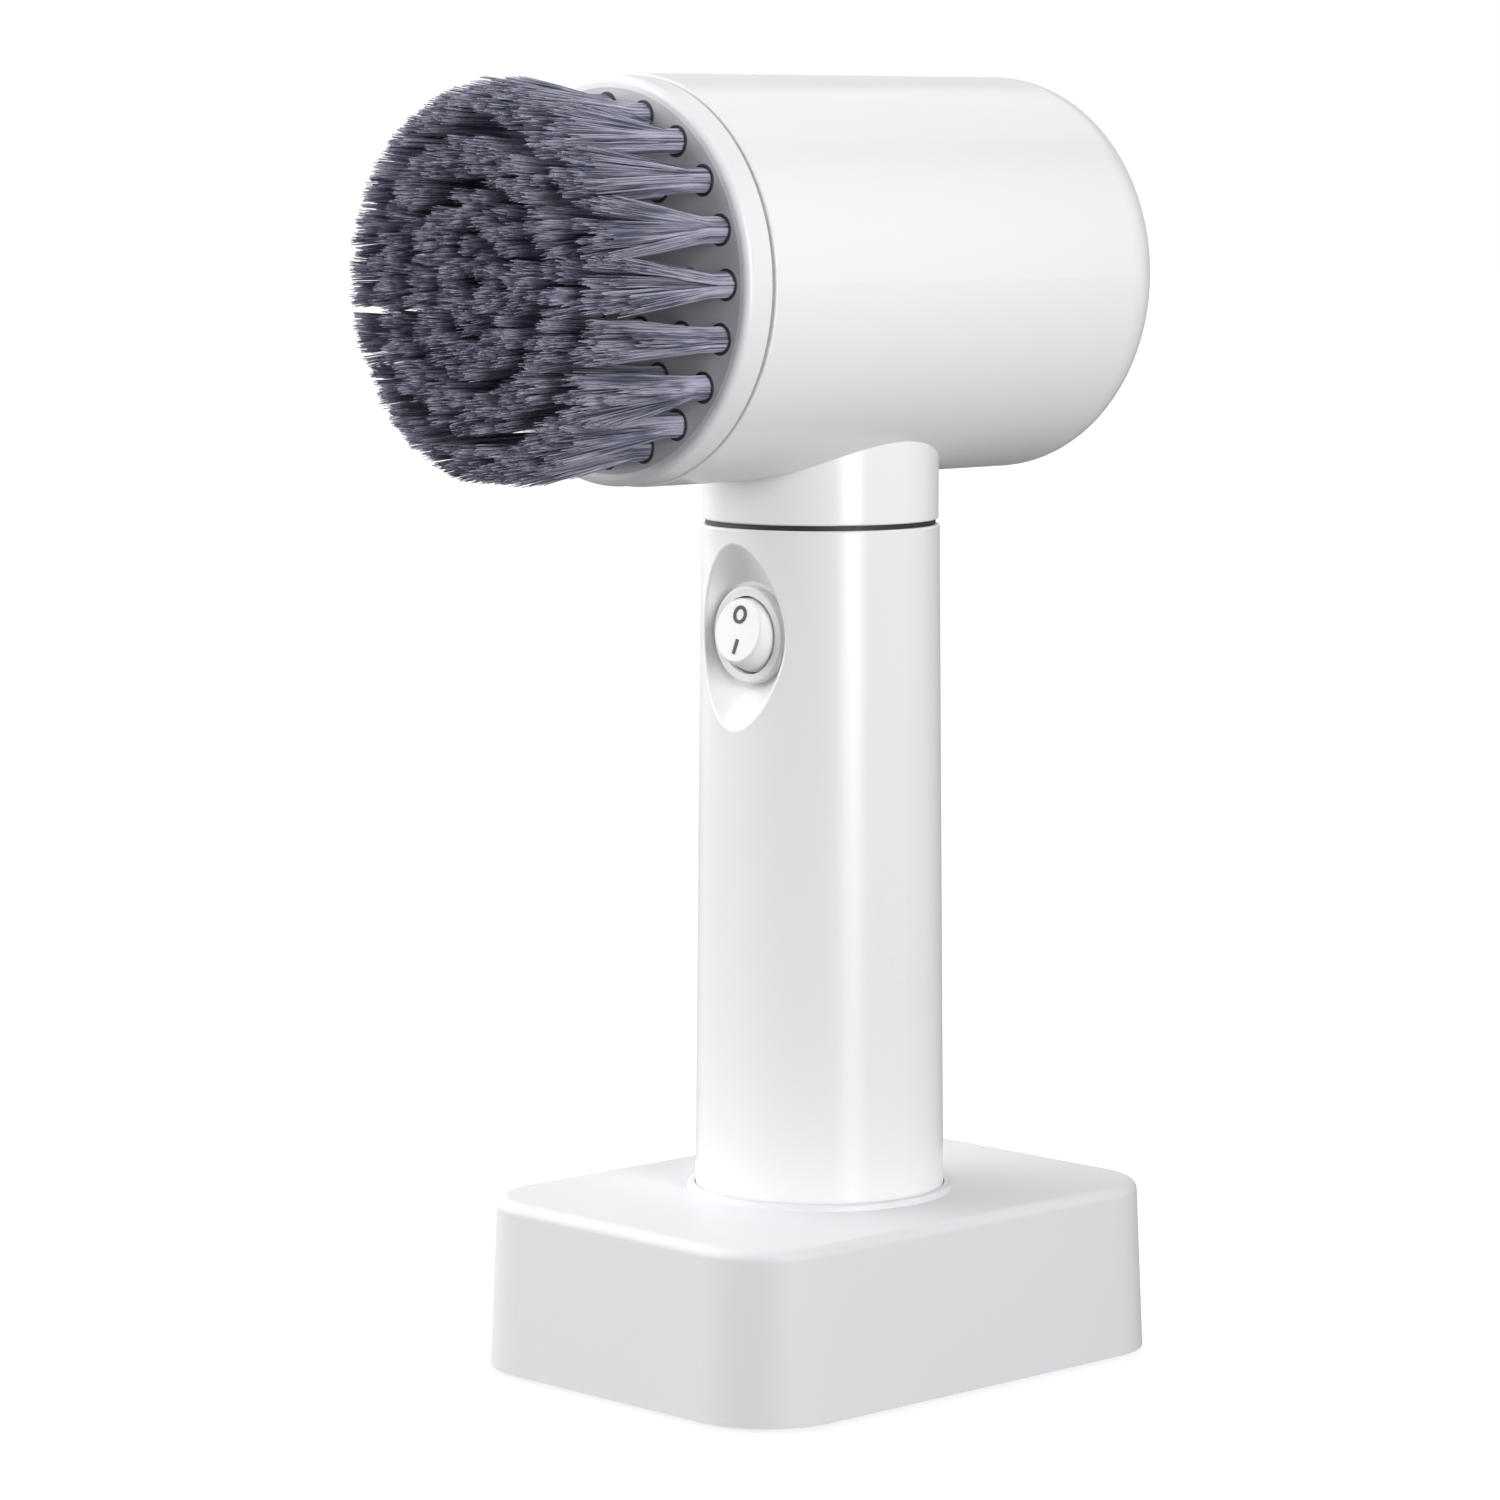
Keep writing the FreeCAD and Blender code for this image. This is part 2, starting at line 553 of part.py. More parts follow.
def base_shell():
    taper = math.tan(math.radians(size("base_taper")))
    raised = "( base_height - pad_proud )"
    outer = rounded_plate("shell_outer", "base_wide", "base_long", "base_corner", raised,
                          (0, 0, "pad_proud"), "base_taper")
    hollow = rounded_plate("shell_hollow", "base_wide - 2 * base_wall", "base_long - 2 * base_wall",
                           "base_corner - base_wall", raised + " - base_wall", (0, 0, "pad_proud"),
                           "base_taper")
    top = size("base_height")
    print("base top %.2f x %.2f" % (size("base_wide") - 2 * taper * size(raised),
                                    size("base_long") - 2 * taper * size(raised)))
    soft = round_edges("shell_soft", outer, "base_edge",
                       lambda edge: all(abs(vertex.Z - top) < RING_TOLERANCE for vertex in edge.Vertexes))
    well = turned("well", [
        (0, "well_floor - well_wall"),
        ("well_radius + well_wall", "well_floor - well_wall"),
        ("well_radius + well_wall", "base_height - base_wall"),
        ("well_radius + collar_spread", "base_height - base_wall"),
        ("well_radius + collar_spread", "base_height"),
        ("well_radius + collar_top", "base_height + collar_rise"),
        (0, "base_height + collar_rise"),
    ], rims=((5, "collar_round"),))
    bore = cylinder("well_bore", "well_radius", "base_height", (0, 0, "well_floor"))
    posts, pilots = [], []
    for index, (side, end) in enumerate(SCREW_CORNERS):
        spot = ("%d * boss_x" % side, "%d * boss_y" % end)
        posts.append(cylinder("post%d" % index, "boss_radius", "base_height - base_wall / 2 - floor_top",
                              spot + ("floor_top",)))
        pilots.append(cylinder("pilot%d" % index, "screw_radius", "pilot_depth", spot + ("floor_top",)))
    inlet = slot_shape("inlet_cut", "inlet_wide + 4 * inlet_sheet", "inlet_high + 4 * inlet_sheet",
                       "inlet_length", "inlet_front + 1")
    sleeves = [cylinder("sleeve_hole_" + name, "sleeve_radius", "2 * well_wall",
                        ("%d * contact_spread" % side, 0, "well_floor - well_wall - 1"))
               for side, name in SIDES]
    hollowed = cut("shell_hollowed", soft, [hollow])
    whole = fuse("shell_whole", [hollowed, well] + posts)
    return keep(cut("base_shell_cut", whole, [bore, inlet] + sleeves + pilots), "base_shell")


def slot_shape(label, wide, high, deep, y):
    """Slot with round ends that runs along Y, centred on the charging inlet's height."""
    half = "( %s ) / 2" % high
    middle = box(label + "_middle", ("%s - ( %s )" % (wide, high), deep, high),
                 (0, "%s + ( %s ) / 2" % (y, deep), "inlet_height - " + half))
    ends = [cylinder(label + "_end_" + name, half, deep,
                     ("%d * ( %s - ( %s ) ) / 2" % (side, wide, high), y, "inlet_height"), "Y")
            for side, name in SIDES]
    return fuse(label, [middle] + ends)


def base_inside():
    plate = rounded_plate("floor_blank", "base_wide - 2 * base_wall - fit_gap",
                          "base_long - 2 * base_wall - fit_gap", "base_corner - base_wall", "floor_plate",
                          (0, 0, "pad_proud"), "base_taper")
    recess = rounded_plate("mat_recess", "mat_wide + fit_gap", "mat_long + fit_gap", "mat_corner",
                           "mat_thickness - pad_proud", (0, 0, "pad_proud"))
    holes, screws = [], []
    for index, (side, end) in enumerate(SCREW_CORNERS):
        spot = ("%d * boss_x" % side, "%d * boss_y" % end, "pad_proud")
        holes += [cylinder("floor_hole%d" % index, "screw_head + head_gap", "floor_plate - 1", spot),
                  cylinder("floor_way%d" % index, "screw_radius", "floor_plate", spot)]
        screws.append(fuse("base_screw%d" % index, [
            cylinder("base_screw_head%d" % index, "screw_head", "floor_plate - 1", spot),
            cylinder("base_screw_shank%d" % index, "screw_radius", "pilot_depth", spot)]))
    stands = [cylinder("stand%d%d" % (side, end), "stand_radius",
                       "board_height - pad_proud - floor_plate + head_gap",
                       ("%d * ( board_wide / 2 - 3 )" % side, "board_y - 4 + %d * 19" % end,
                        "floor_top - head_gap")) for side, end in SCREW_CORNERS]
    keep(fuse("floor_fused", [cut("floor_cut", plate, [recess] + holes)] + stands), "base_floor")
    keep(rounded_plate("mat", "mat_wide", "mat_long", "mat_corner", "mat_thickness", (0, 0, 0)), "foot_pad")
    keep(group("screws_base", screws), "base_screws")
    keep(rounded_plate("weight", "weight_wide", "weight_long", "weight_corner", "weight_tall",
                       (0, "weight_y", "floor_top")), "base_weight")
    keep(box("board", ("board_wide", "board_long", "board_thickness"), (0, "board_y", "board_height")),
         "charge_board")
    outer = slot_shape("inlet_outer", "inlet_wide + 2 * inlet_sheet", "inlet_high + 2 * inlet_sheet",
                       "inlet_length", "inlet_front")
    inner = slot_shape("inlet_inner", "inlet_wide", "inlet_high", "inlet_length - 1", "inlet_front + 1")
    tongue = box("inlet_tongue", ("tongue_wide", "inlet_length - 2.1", "tongue_thick"),
                 (0, "inlet_front + inlet_length / 2 - 0.05", "inlet_height - tongue_thick / 2"))
    keep(fuse("inlet_fused", [cut("inlet_shell", outer, [inner]), tongue]), "charge_inlet")
    sleeves = []
    for side, name in SIDES:
        spot = ("%d * contact_spread" % side, 0)
        sleeves.append(tube("sleeve_" + name, "sleeve_radius", "plunger_radius + running_gap",
                            "well_floor - foot_top - 3 * head_gap", spot + ("board_height + board_thickness",)))
        keep(cylinder("plunger_tip_" + name, "plunger_radius", "tip_length",
                      spot + ("handle_foot - tip_length",)), "contact_pin_" + name)
        coil = doc.addObject("Part::Helix", "coil_" + name)
        bind(coil, Pitch="coil_pitch", Height="coil_height", Radius="coil_radius")
        place(coil, spot + ("foot_top + coil_lift",))
        wire = doc.addObject("Part::Circle", "coil_wire_" + name)
        bind(wire, Radius="coil_wire")
        place(wire, ("%d * contact_spread + coil_radius" % side, 0, "foot_top + coil_lift"), "Y")
        spring = doc.addObject("Part::Sweep", "coil_sweep_" + name)
        spring.Sections = [wire]
        spring.Spine = (coil, ["Edge1"])
        spring.Solid = True
        keep(spring, "pin_spring_" + name)
    keep(group("sleeves", sleeves), "pin_sleeves")


def handle_tube():
    skin = turned("handle_skin", [
        ("handle_bore", "handle_foot"),
        ("handle_low_radius", "handle_foot"),
        ("handle_low_radius", "base_height"),
        ("handle_top_radius", "handle_top"),
        ("handle_bore", "handle_top"),
    ], rims=((1, "foot_edge"), (3, "seam_edge")))
    bore = cylinder("pad_limit", "handle_bore + 0.5", "pad_tall + 2", (0, 0, "switch_height - pad_low - 1"))
    backing = box("pad_blank", ("pad_wide", "pad_deep", "pad_tall"),
                  (0, "pad_back - pad_deep / 2", "switch_height - pad_low"))
    pad = common("switch_pad", bore, backing)
    floor = doc.addObject("Part::Ellipse", "dish_floor")
    bind(floor, MajorRadius="dish_floor_radius + 0.1", MinorRadius="dish_floor_radius")
    rim = doc.addObject("Part::Ellipse", "dish_rim")
    bind(rim, MajorRadius="dish_tall", MinorRadius="dish_wide")
    for ellipse, depth in ((floor, "flange_front + flange_thickness"), (rim, "dish_mouth")):
        ellipse.Placement = FreeCAD.Placement(V(0, 0, 0), FreeCAD.Rotation(V(1, 1, 1), -120))
        for axis, word in zip("xyz", (0, depth, "switch_height")):
            ellipse.setExpression("Placement.Base." + axis, text(word))
    dish = doc.addObject("Part::Loft", "dish")
    dish.Sections = [floor, rim]
    dish.Solid = True
    hole = cylinder("switch_hole", "barrel_radius", "handle_low_radius",
                    (0, "-1 * handle_low_radius", "switch_height"), "Y")
    carved = cut("handle_carved", fuse("handle_whole", [skin, pad]), [dish, hole])
    outside = size("handle_top_radius") - 0.5
    rear = -size("window_radius")

    def is_dish_rim(edge):
        spots = edge.discretize(9)
        near = all(math.hypot(spot.x, spot.y) > outside and spot.y < rear for spot in spots)
        level = abs(edge.CenterOfMass.z - size("switch_height")) < size("dish_tall")
        return near and level and edge.Length > size("flange_radius") / 2

    return keep(round_edges("handle_soft", carved, "dish_edge", is_dish_rim), "handle_tube")


def switch():
    ring = cylinder("flange", "flange_radius", "flange_thickness", (0, "flange_front", "switch_height"), "Y")
    soft = round_edges("flange_soft", ring, "dish_edge",
                       lambda edge: edge.CenterOfMass.y < size("flange_front") + RING_TOLERANCE)
    barrel = cylinder("barrel", "barrel_radius", "barrel_back - flange_front - 1",
                      (0, "flange_front + 1", "switch_height"), "Y")
    window = cylinder("window", "window_radius", "pivot_depth - flange_front + 4",
                      (0, "flange_front - 1", "switch_height"), "Y")
    pivot_way = cylinder("pivot_way", "pivot_radius + running_gap", "2 * barrel_radius",
                         ("-1 * barrel_radius", "pivot_depth", "switch_height"), "X")
    keep(cut("bezel_cut", fuse("bezel_whole", [soft, barrel]), [window, pivot_way]), "switch_bezel")
    blades = [box("blade_" + name, ("blade_wide", "blade_long", "blade_thick"),
                  (0, "barrel_back + blade_long / 2", "switch_height + %d * 3 - blade_thick / 2" % side))
              for side, name in SIDES]
    keep(group("blades", blades), "switch_terminals")
    cap = turned("rocker_cap", [(0, "-1 * rocker_reach"), ("rocker_face", "-1 * rocker_reach"),
                                ("rocker_base", 0), ("rocker_base - 1", "rocker_heel"), (0, "rocker_heel")],
                 "Y", rims=((1, "rocker_edge"),))
    pivots = cylinder("rocker_pivots", "pivot_radius", "2 * barrel_radius - 0.4",
                      ("0.2 - barrel_radius", 0, 0), "X")
    rocker = group("rocker_group", [fuse("rocker_fused", [cap, pivots])])
    front = "-1 * rocker_reach - mark_depth"
    letter = tube("mark_ring", "mark_outer", "mark_inner", "mark_depth", (0, front, "mark_place"), "Y")
    bar = box("mark_bar", ("bar_wide", "mark_depth", "bar_tall"),
              (0, "-1 * rocker_reach - mark_depth / 2", "-1 * mark_place - bar_tall / 2"))
    marks = group("marks", [letter, bar])
    for thing, node in ((rocker, "switch_rocker"), (marks, "switch_marks")):
        keep(thing, node)
        thing.Placement = FreeCAD.Placement(V(0, 0, 0), FreeCAD.Rotation(V(1, 0, 0), -size("rocker_tilt")))
        for axis, word in zip("xyz", (0, "pivot_depth", "switch_height")):
            thing.setExpression("Placement.Base." + axis, text(word))


def handle_inside():
    seal_low = "handle_foot + seal_lift"
    groove = tube("cap_groove", "handle_bore", "handle_bore - seal_deep", "seal_tall", (0, 0, seal_low))
    plug = cylinder("cap_plug", "handle_bore", "cap_thickness", (0, 0, "handle_foot"))
    contacts, ways, screws, pilots = [], [], [], []
    for side, name in SIDES:
        spot = ("%d * contact_spread" % side, 0, "handle_foot")
        contacts.append(cylinder("contact_" + name, "contact_radius", "contact_length", spot))
        ways.append(cylinder("contact_way_" + name, "contact_radius", "contact_length", spot))
        spot = (0, "%d * cap_screw_y" % side, "handle_foot")
        screws.append(fuse("cap_screw_" + name, [
            cylinder("cap_head_" + name, "contact_radius", "seal_tall", spot),
            cylinder("cap_shank_" + name, "screw_radius", "pilot_depth", spot)]))
        ways.append(cylinder("cap_way_" + name, "contact_radius", "seal_tall", spot))
        ways.append(cylinder("cap_pilot_" + name, "screw_radius", "pilot_depth", spot))
        pilots.append(cylinder("foot_pilot_" + name, "screw_radius", "pilot_depth", spot))
    keep(cut("cap_cut", plug, [groove] + ways), "bottom_cap")
    keep(tube("cap_seal", "handle_bore", "handle_bore - seal_deep", "seal_tall", (0, 0, seal_low)),
         "bottom_seal")
    keep(group("contacts", contacts), "charge_contacts")
    keep(group("cap_screws_group", screws), "cap_screws")
    battery(pilots)
    board = box("control_blank", ("control_wide", "board_thickness", "control_tall"),
                (0, "control_y", "control_low"))
    chips = [box("chip%d" % number, (wide, "chip_thick", tall), (x, "control_y - chip_thick - 0.2", z))
             for number, (wide, tall, x, z) in enumerate(CHIPS)]
    keep(fuse("control_fused", [board] + chips), "control_board")


def battery(pilots):
    cell_top = "cell_bottom + cell_length"
    shoulder = cell_top + " - cell_nub_tall"
    cell = turned("cell", [(0, "cell_bottom"), ("cell_radius", "cell_bottom"), ("cell_radius", shoulder),
                           ("cell_nub", shoulder), ("cell_nub", cell_top), (0, cell_top)],
                  rims=((1, "cell_edge"), (2, "cell_edge")))
    keep(cell, "battery_cell")
    low, high = "cell_bottom - plate_sheet - cradle_end", cell_top + " + plate_sheet"
    tall = "cell_length + 2 * ( plate_sheet + cradle_end )"
    rear = box("cradle_half", ("2 * handle_bore", "handle_bore", "cell_length"),
               (0, "handle_bore / 2", "cell_bottom"))
    cradle = tube("cradle_tube", "cradle_radius", "cell_radius + head_gap", "cell_length",
                  (0, 0, "cell_bottom"))
    ends = [cylinder("cradle_end%d" % number, "cradle_radius", "cradle_end", (0, 0, level))
            for number, level in enumerate((low, high))]
    feet = [box("cradle_foot_" + name, (3, 8, "cell_bottom - cradle_foot - 1"),
                (0, "%d * ( cap_screw_y - 1 )" % side, "cradle_foot")) for side, name in SIDES]
    leg = box("cradle_leg", (10, "cradle_end", tall), (0, "cradle_radius - 1.4", low))
    whole = fuse("cradle_fused", [common("cradle_back", cradle, rear), leg] + ends + feet)
    keep(cut("cradle_cut", whole, pilots), "battery_cradle")
    plates = [cylinder("cell_plate%d" % number, "plate_disc", "plate_sheet", (0, 0, level))
              for number, level in enumerate(("cell_bottom - plate_sheet", cell_top))]
    keep(group("plates", plates), "battery_contacts")


def head_housing():
    outer = turned("head_outer", [(0, "head_front"), ("head_radius", "head_front"),
                                  ("head_radius", "head_back"), (0, "head_back")],
                   "Y", (0, 0, "head_height"), rims=((2, "head_shoulder"), (1, "rim_edge")))
    inner = turned("head_inner", [(0, "head_front - 1"), ("head_radius - head_wall", "head_front - 1"),
                                  ("head_radius - head_wall", "head_back - head_wall"),
                                  (0, "head_back - head_wall")],
                   "Y", (0, 0, "head_height"), rims=((2, "head_shoulder - head_wall"),))
    mouth = cylinder("neck_mouth", "neck_plug + bond_gap", "head_radius", (0, 0, "head_height - head_radius"))
    opened = cut("head_opened", outer, [inner, mouth])
    back = "cover_front + cover_thickness"
    posts, pilots = [], []
    for angle in COVER_SCREW_ANGLES:
        spot = around("cover_screw_ring", angle, back)
        posts.append(cylinder("head_post%d" % angle, "post_radius", "post_length", spot, "Y"))
        pilots.append(cylinder("head_pilot%d" % angle, "screw_radius", "pilot_depth - 1", spot, "Y"))
    keep(cut("housing_cut", fuse("housing_fused", [opened] + posts), pilots), "head_housing")


def neck_collar():
    seam_top = "( handle_top + seam_gap )"
    blank = cylinder("neck", "neck_radius", "head_height - neck_bore - " + seam_top, (0, 0, seam_top))
    soft = round_edges("neck_soft", blank, "rim_edge",
                       lambda edge: is_ring(edge, size("neck_radius"), size(seam_top)))
    saddle = cylinder("saddle", "head_radius", "head_back - head_front", (0, "head_front", "head_height"), "Y")
    spigot = cylinder("spigot", "handle_bore", "spigot_length + 2", (0, 0, seam_top + " - spigot_length"))
    plug = cylinder("neck_plug_blank", "neck_plug", "head_height - neck_plug_top - " + seam_top,
                    (0, 0, seam_top))
    way = cylinder("neck_way", "neck_bore", "2 * head_radius", (0, 0, seam_top + " - spigot_length - 1"))
    whole = fuse("neck_whole", [cut("neck_saddled", soft, [saddle]), spigot, plug])
    keep(cut("neck_cut", whole, [way]), "neck_collar")
    keep(tube("seam_ring", "neck_radius - seam_depth", "handle_bore", "seam_gap", (0, 0, "handle_top")),
         "neck_seal")


def gearbox_housing():
    back = "cover_front + cover_thickness"
    cover = turned("cover_blank", [(0, "cover_front"), ("head_radius - head_wall - cover_gap", "cover_front"),
                                   ("head_radius - head_wall - cover_gap", back), ("cover_boss", back),
                                   ("cover_boss", back + " + cover_boss_long"),
                                   (0, back + " + cover_boss_long")],
                   "Y", (0, 0, "head_height"))
    ways = [cylinder("cover_way", "bush_radius", "2 * bush_radius", (0, "cover_front - 1", "head_height"), "Y")]
    screws = []
    for angle in COVER_SCREW_ANGLES:
        ways.append(cylinder("cover_hole%d" % angle, "screw_radius", "cover_thickness + 2",
                             around("cover_screw_ring", angle, "cover_front - 1"), "Y"))
        screws.append(fuse("cover_screw%d" % angle, [
            cylinder("cover_screw_head%d" % angle, "cover_head", "cover_head_tall",
                     around("cover_screw_ring", angle, "cover_front - cover_head_tall"), "Y"),
            cylinder("cover_screw_shank%d" % angle, "screw_radius", "pilot_depth + 1",
                     around("cover_screw_ring", angle, "cover_front"), "Y")]))
    long_screws, long_ways, plate_ways = [], [], []
    for angle in CASE_SCREW_ANGLES:
        spot = around("case_screw_ring", angle, "cover_front + 1")
        reach = "case_back + motor_plate - cover_front - 1"
        shank = cylinder("long_shank%d" % angle, "screw_radius", reach, spot, "Y")
        head = cylinder("long_head%d" % angle, "long_head", "long_head_tall",
                        around("case_screw_ring", angle, "case_back + motor_plate"), "Y")
        long_screws.append(fuse("long_screw%d" % angle, [shank, head]))
        for ways_list, name in ((ways, "a"), (long_ways, "b"), (plate_ways, "c")):
            ways_list.append(cylinder("long_way_%s%d" % (name, angle), "screw_radius", reach, spot, "Y"))
    keep(cut("cover_cut", cover, ways), "gearbox_cover")
    keep(group("cover_screws_group", screws), "cover_screws")
    keep(group("long_screws", long_screws), "gearbox_screws")
    blank = cylinder("case_blank", "case_radius", "case_back - cover_front - cover_thickness",
                     (0, back, "head_height"), "Y")
    front_bore = cylinder("case_front_bore", "case_bore", "teeth_front - %s + 0.01" % back.replace("+", "-"),
                          (0, back, "head_height"), "Y")
    module = size("gear_module")
    pitch = module * RING_TEETH / 2
    teeth = gear("ring_space", RING_TEETH, pitch + module, pitch - STUB_ADDENDUM * module,
                 -size("tooth_thinning"), size("case_back - teeth_front + 0.01"), 0,
                 (0, "teeth_front", "head_height"), 180 / RING_TEETH)
    keep(cut("case_cut", blank, [front_bore, teeth] + long_ways), "gear_case")
    plate = cylinder("plate_blank", "case_radius", "motor_plate", (0, "case_back", "head_height"), "Y")
    centre = cylinder("plate_centre", "plate_way", "3 * motor_plate", (0, "case_back - 1", "head_height"), "Y")
    motor_screws, motor_ways = [], []
    for angle in MOTOR_SCREW_ANGLES:
        spot = around("motor_screw_ring", angle, "case_back + fit_gap")
        motor_screws.append(cylinder("motor_screw%d" % angle, "screw_radius", "motor_screw", spot, "Y"))
        motor_ways.append(cylinder("motor_way%d" % angle, "screw_radius", "2 * motor_screw",
                                   around("motor_screw_ring", angle, "case_back - 1"), "Y"))
    keep(cut("plate_cut", plate, [centre] + plate_ways + motor_ways), "motor_plate")
    keep(group("motor_screws_group", motor_screws), "motor_screws")
    keep(tube("seal_blank", "bush_radius", "shaft_radius + running_gap", "seal_length",
              (0, "cover_front", "head_height"), "Y"), "shaft_seal")
    keep(tube("bush_blank", "bush_radius", "shaft_radius + running_gap", "bush_length",
              (0, "cover_front + seal_length + planet_gap", "head_height"), "Y"), "output_bush")


def drive():
    tip = "disc_back - disc_thickness + plate_thickness + 0.6"
    shaft = cylinder("shaft_blank", "shaft_radius", "carrier_front - ( %s )" % tip,
                     (0, tip, "head_height"), "Y")
    flat_end = "cover_front - fit_gap"
    flat = box("shaft_flat_tool", ("shaft_radius", "%s - ( %s )" % (flat_end, tip), "3 * shaft_radius"),
               ("shaft_flat + shaft_radius / 2", "( %s + %s ) / 2" % (flat_end, tip),
                "head_height - 1.5 * shaft_radius"))
    keep(cut("shaft_cut", shaft, [flat]), "output_shaft")
    spread = "( gear_module * %g )" % ((SUN_TEETH + PLANET_TEETH) / 2)
    stages = (("output", "carrier_front", "carrier_thickness"), ("first", "first_front", "first_thickness"))
    for stage, front, thick in stages:
        disc = cylinder(stage + "_disc", "carrier_radius", thick, (0, front, "head_height"), "Y")
        pins = [cylinder("%s_pin%d" % (stage, index), "pin_radius", thick + " + pin_reach",
                         around(spread, 360 / PLANETS * index, front), "Y") for index in range(PLANETS)]
        keep(fuse(stage + "_carrier_fused", [disc] + pins), stage + "_carrier")
    keep(outer_gear("second_sun", SUN_TEETH, "sun_width", 0, (0, "sun_front", "head_height")),
         "second_sun_gear")
    for stage, front, thick in stages:
        for index in range(PLANETS):
            spot = around(spread, 360 / PLANETS * index, "%s + %s + planet_gap" % (front, thick))
            turn = 360 / PLANETS * index + 180 / PLANET_TEETH
            keep(outer_gear("%s_planet%d" % (stage, index), PLANET_TEETH, "planet_width",
                            "pin_radius + running_gap", spot, turn), "%s_planet_%d" % (stage, index + 1))
    keep(outer_gear("pinion", SUN_TEETH, "pinion_width", "pin_radius", (0, "pinion_front", "head_height")),
         "motor_pinion")


def motor():
    front = "( case_back + motor_plate )"
    rear = front + " + motor_length"
    cap_front = rear + " - end_cap"
    inside = "motor_radius - can_sheet"
    axis = ("Y", (0, 0, "head_height"))
    can = turned("can", [("motor_nose", front), ("motor_radius", front), ("motor_radius", cap_front),
                         (inside, cap_front), (inside, front + " + can_sheet"),
                         ("motor_nose", front + " + can_sheet")], *axis, rims=((1, "can_edge"),))
    threads = [cylinder("can_thread%d" % angle, "screw_radius", "motor_screw",
                        around("motor_screw_ring", angle, front + " - 1"), "Y") for angle in MOTOR_SCREW_ANGLES]
    keep(cut("can_cut", can, threads), "motor_can")
    cap = turned("end_cap", [("motor_nose", cap_front), ("motor_radius", cap_front), ("motor_radius", rear),
                             ("cap_boss", rear), ("cap_boss", rear + " + cap_boss_tall"),
                             ("motor_nose", rear + " + cap_boss_tall")], *axis)
    blades, ways = [], []
    for side, name in SIDES:
        spot = ("%d * terminal_x" % side, rear + " + 0.5", "head_height - terminal_tall / 2")
        ways.append(box("terminal_way_" + name, ("terminal_thick", "blade_long", "terminal_tall"), spot))
        blades.append(box("terminal_" + name, ("terminal_thick", "blade_long", "terminal_tall"), spot))
    keep(cut("end_cap_cut", cap, ways), "motor_end_cap")
    keep(group("terminals", blades), "motor_terminals")
    ring = tube("magnet_ring", inside, "magnet_inside", "magnet_length",
                (0, front + " + magnet_front", "head_height"), "Y")
    gaps = box("magnet_gap", ("magnet_slot", "magnet_length + 2", "3 * core_radius"),
               (0, front + " + magnet_front + magnet_length / 2", "head_height - 1.5 * core_radius"))
    keep(cut("magnets_cut", ring, [gaps]), "motor_magnets")
    rear_bush = front + " + motor_length + cap_boss_tall - rear_bush"
    bushes = [tube("motor_bush_front", "motor_nose", "pin_radius + running_gap", "motor_nose",
                   (0, front, "head_height"), "Y"),
              tube("motor_bush_rear", "motor_nose", "pin_radius + running_gap", "rear_bush",
                   (0, rear_bush, "head_height"), "Y")]
    keep(group("bushes", bushes), "motor_bushes")
    keep(cylinder("spindle", "pin_radius", "%s - pinion_front + cap_boss_tall + 0.7" % rear,
                  (0, "pinion_front", "head_height"), "Y"), "motor_shaft")
    core = tube("core", "core_radius", "pin_radius", "core_length", (0, front + " + core_front", "head_height"),
                "Y")
    segments = tube("commutator", "shaft_radius", "pin_radius", "commutator_long",
                    (0, front + " + core_front + core_length + 1.5", "head_height"), "Y")
    keep(group("rotor", [core, segments]), "rotor_core")


def brush():
    front = "disc_back - disc_thickness"
    disc = turned("disc_blank", [
        (0, front), ("disc_radius", front), ("disc_radius", "disc_back"), ("hub_radius", "disc_back"),
        ("hub_radius", "disc_back + hub_length"), (0, "disc_back + hub_length")],
        "Y", (0, 0, "head_height"), rims=((1, "disc_edge"), (2, "rim_edge")))
    socket = cylinder("socket_round", "shaft_radius + running_gap",
                      "hub_length + disc_thickness - socket_floor",
                      (0, front + " + socket_floor", "head_height"), "Y")
    side = box("socket_side", ("shaft_radius", "3 * shaft_radius", "3 * shaft_radius"),
               ("shaft_flat + running_gap + shaft_radius / 2", "disc_back - 1",
                "head_height - 1.5 * shaft_radius"))
    tool = cut("socket", socket, [side])
    recess = cylinder("plate_recess", "plate_radius", "plate_thickness", (0, front, "head_height"), "Y")
    keep(cut("disc_cut", disc, [tool, recess]), "brush_disc")
    keep(cylinder("plate", "plate_radius", "plate_thickness", (0, front, "head_height"), "Y"), "tuft_plate")
    rings = {}
    for name, count in TUFTS.items():
        length = "rim_tuft_length" if name == "outer" else "tuft_length"
        rings[name] = []
        for index in range(count):
            spot = around("ring_" + name, 360.0 * index / count, "%s - %s" % (front, length))
            rings[name].append(cone("tuft_%s%d" % (name, index), "tuft_tip", "tuft_root", length, spot, "Y"))
    keep(group("outer_tufts", rings["outer"]), "bristles_outer")
    keep(group("middle_tufts", rings["middle"]), "bristles_middle")
    keep(group("inner_tufts", rings["inner"] + rings["centre"]), "bristles_inner")


def leads():
    behind = "case_back + motor_plate + motor_length + blade_long / 2 + 0.5"
    turn, low = behind + " + lead_bend", "head_height - lead_drop"
    runs = []
    for side, name in SIDES:
        outer, inner = "%d * terminal_x" % side, "%d * ( terminal_x - 1 )" % side
        runs.append(wire_run("motor_lead_" + name, [
            (outer, behind, "head_height"), (outer, turn, "head_height"), (outer, turn, low),
            (inner, "lead_y", low), (inner, "lead_y", "lead_end")], size("lead_radius")))
    keep(group("lead_group", runs), "motor_leads")


fill_sheet()
probe = doc.addObject("Part::Box", "probe")
for build in (base_shell, base_inside, handle_tube, switch, handle_inside, head_housing, neck_collar,
              gearbox_housing, drive, motor, brush, leads):
    build()
doc.recompute()

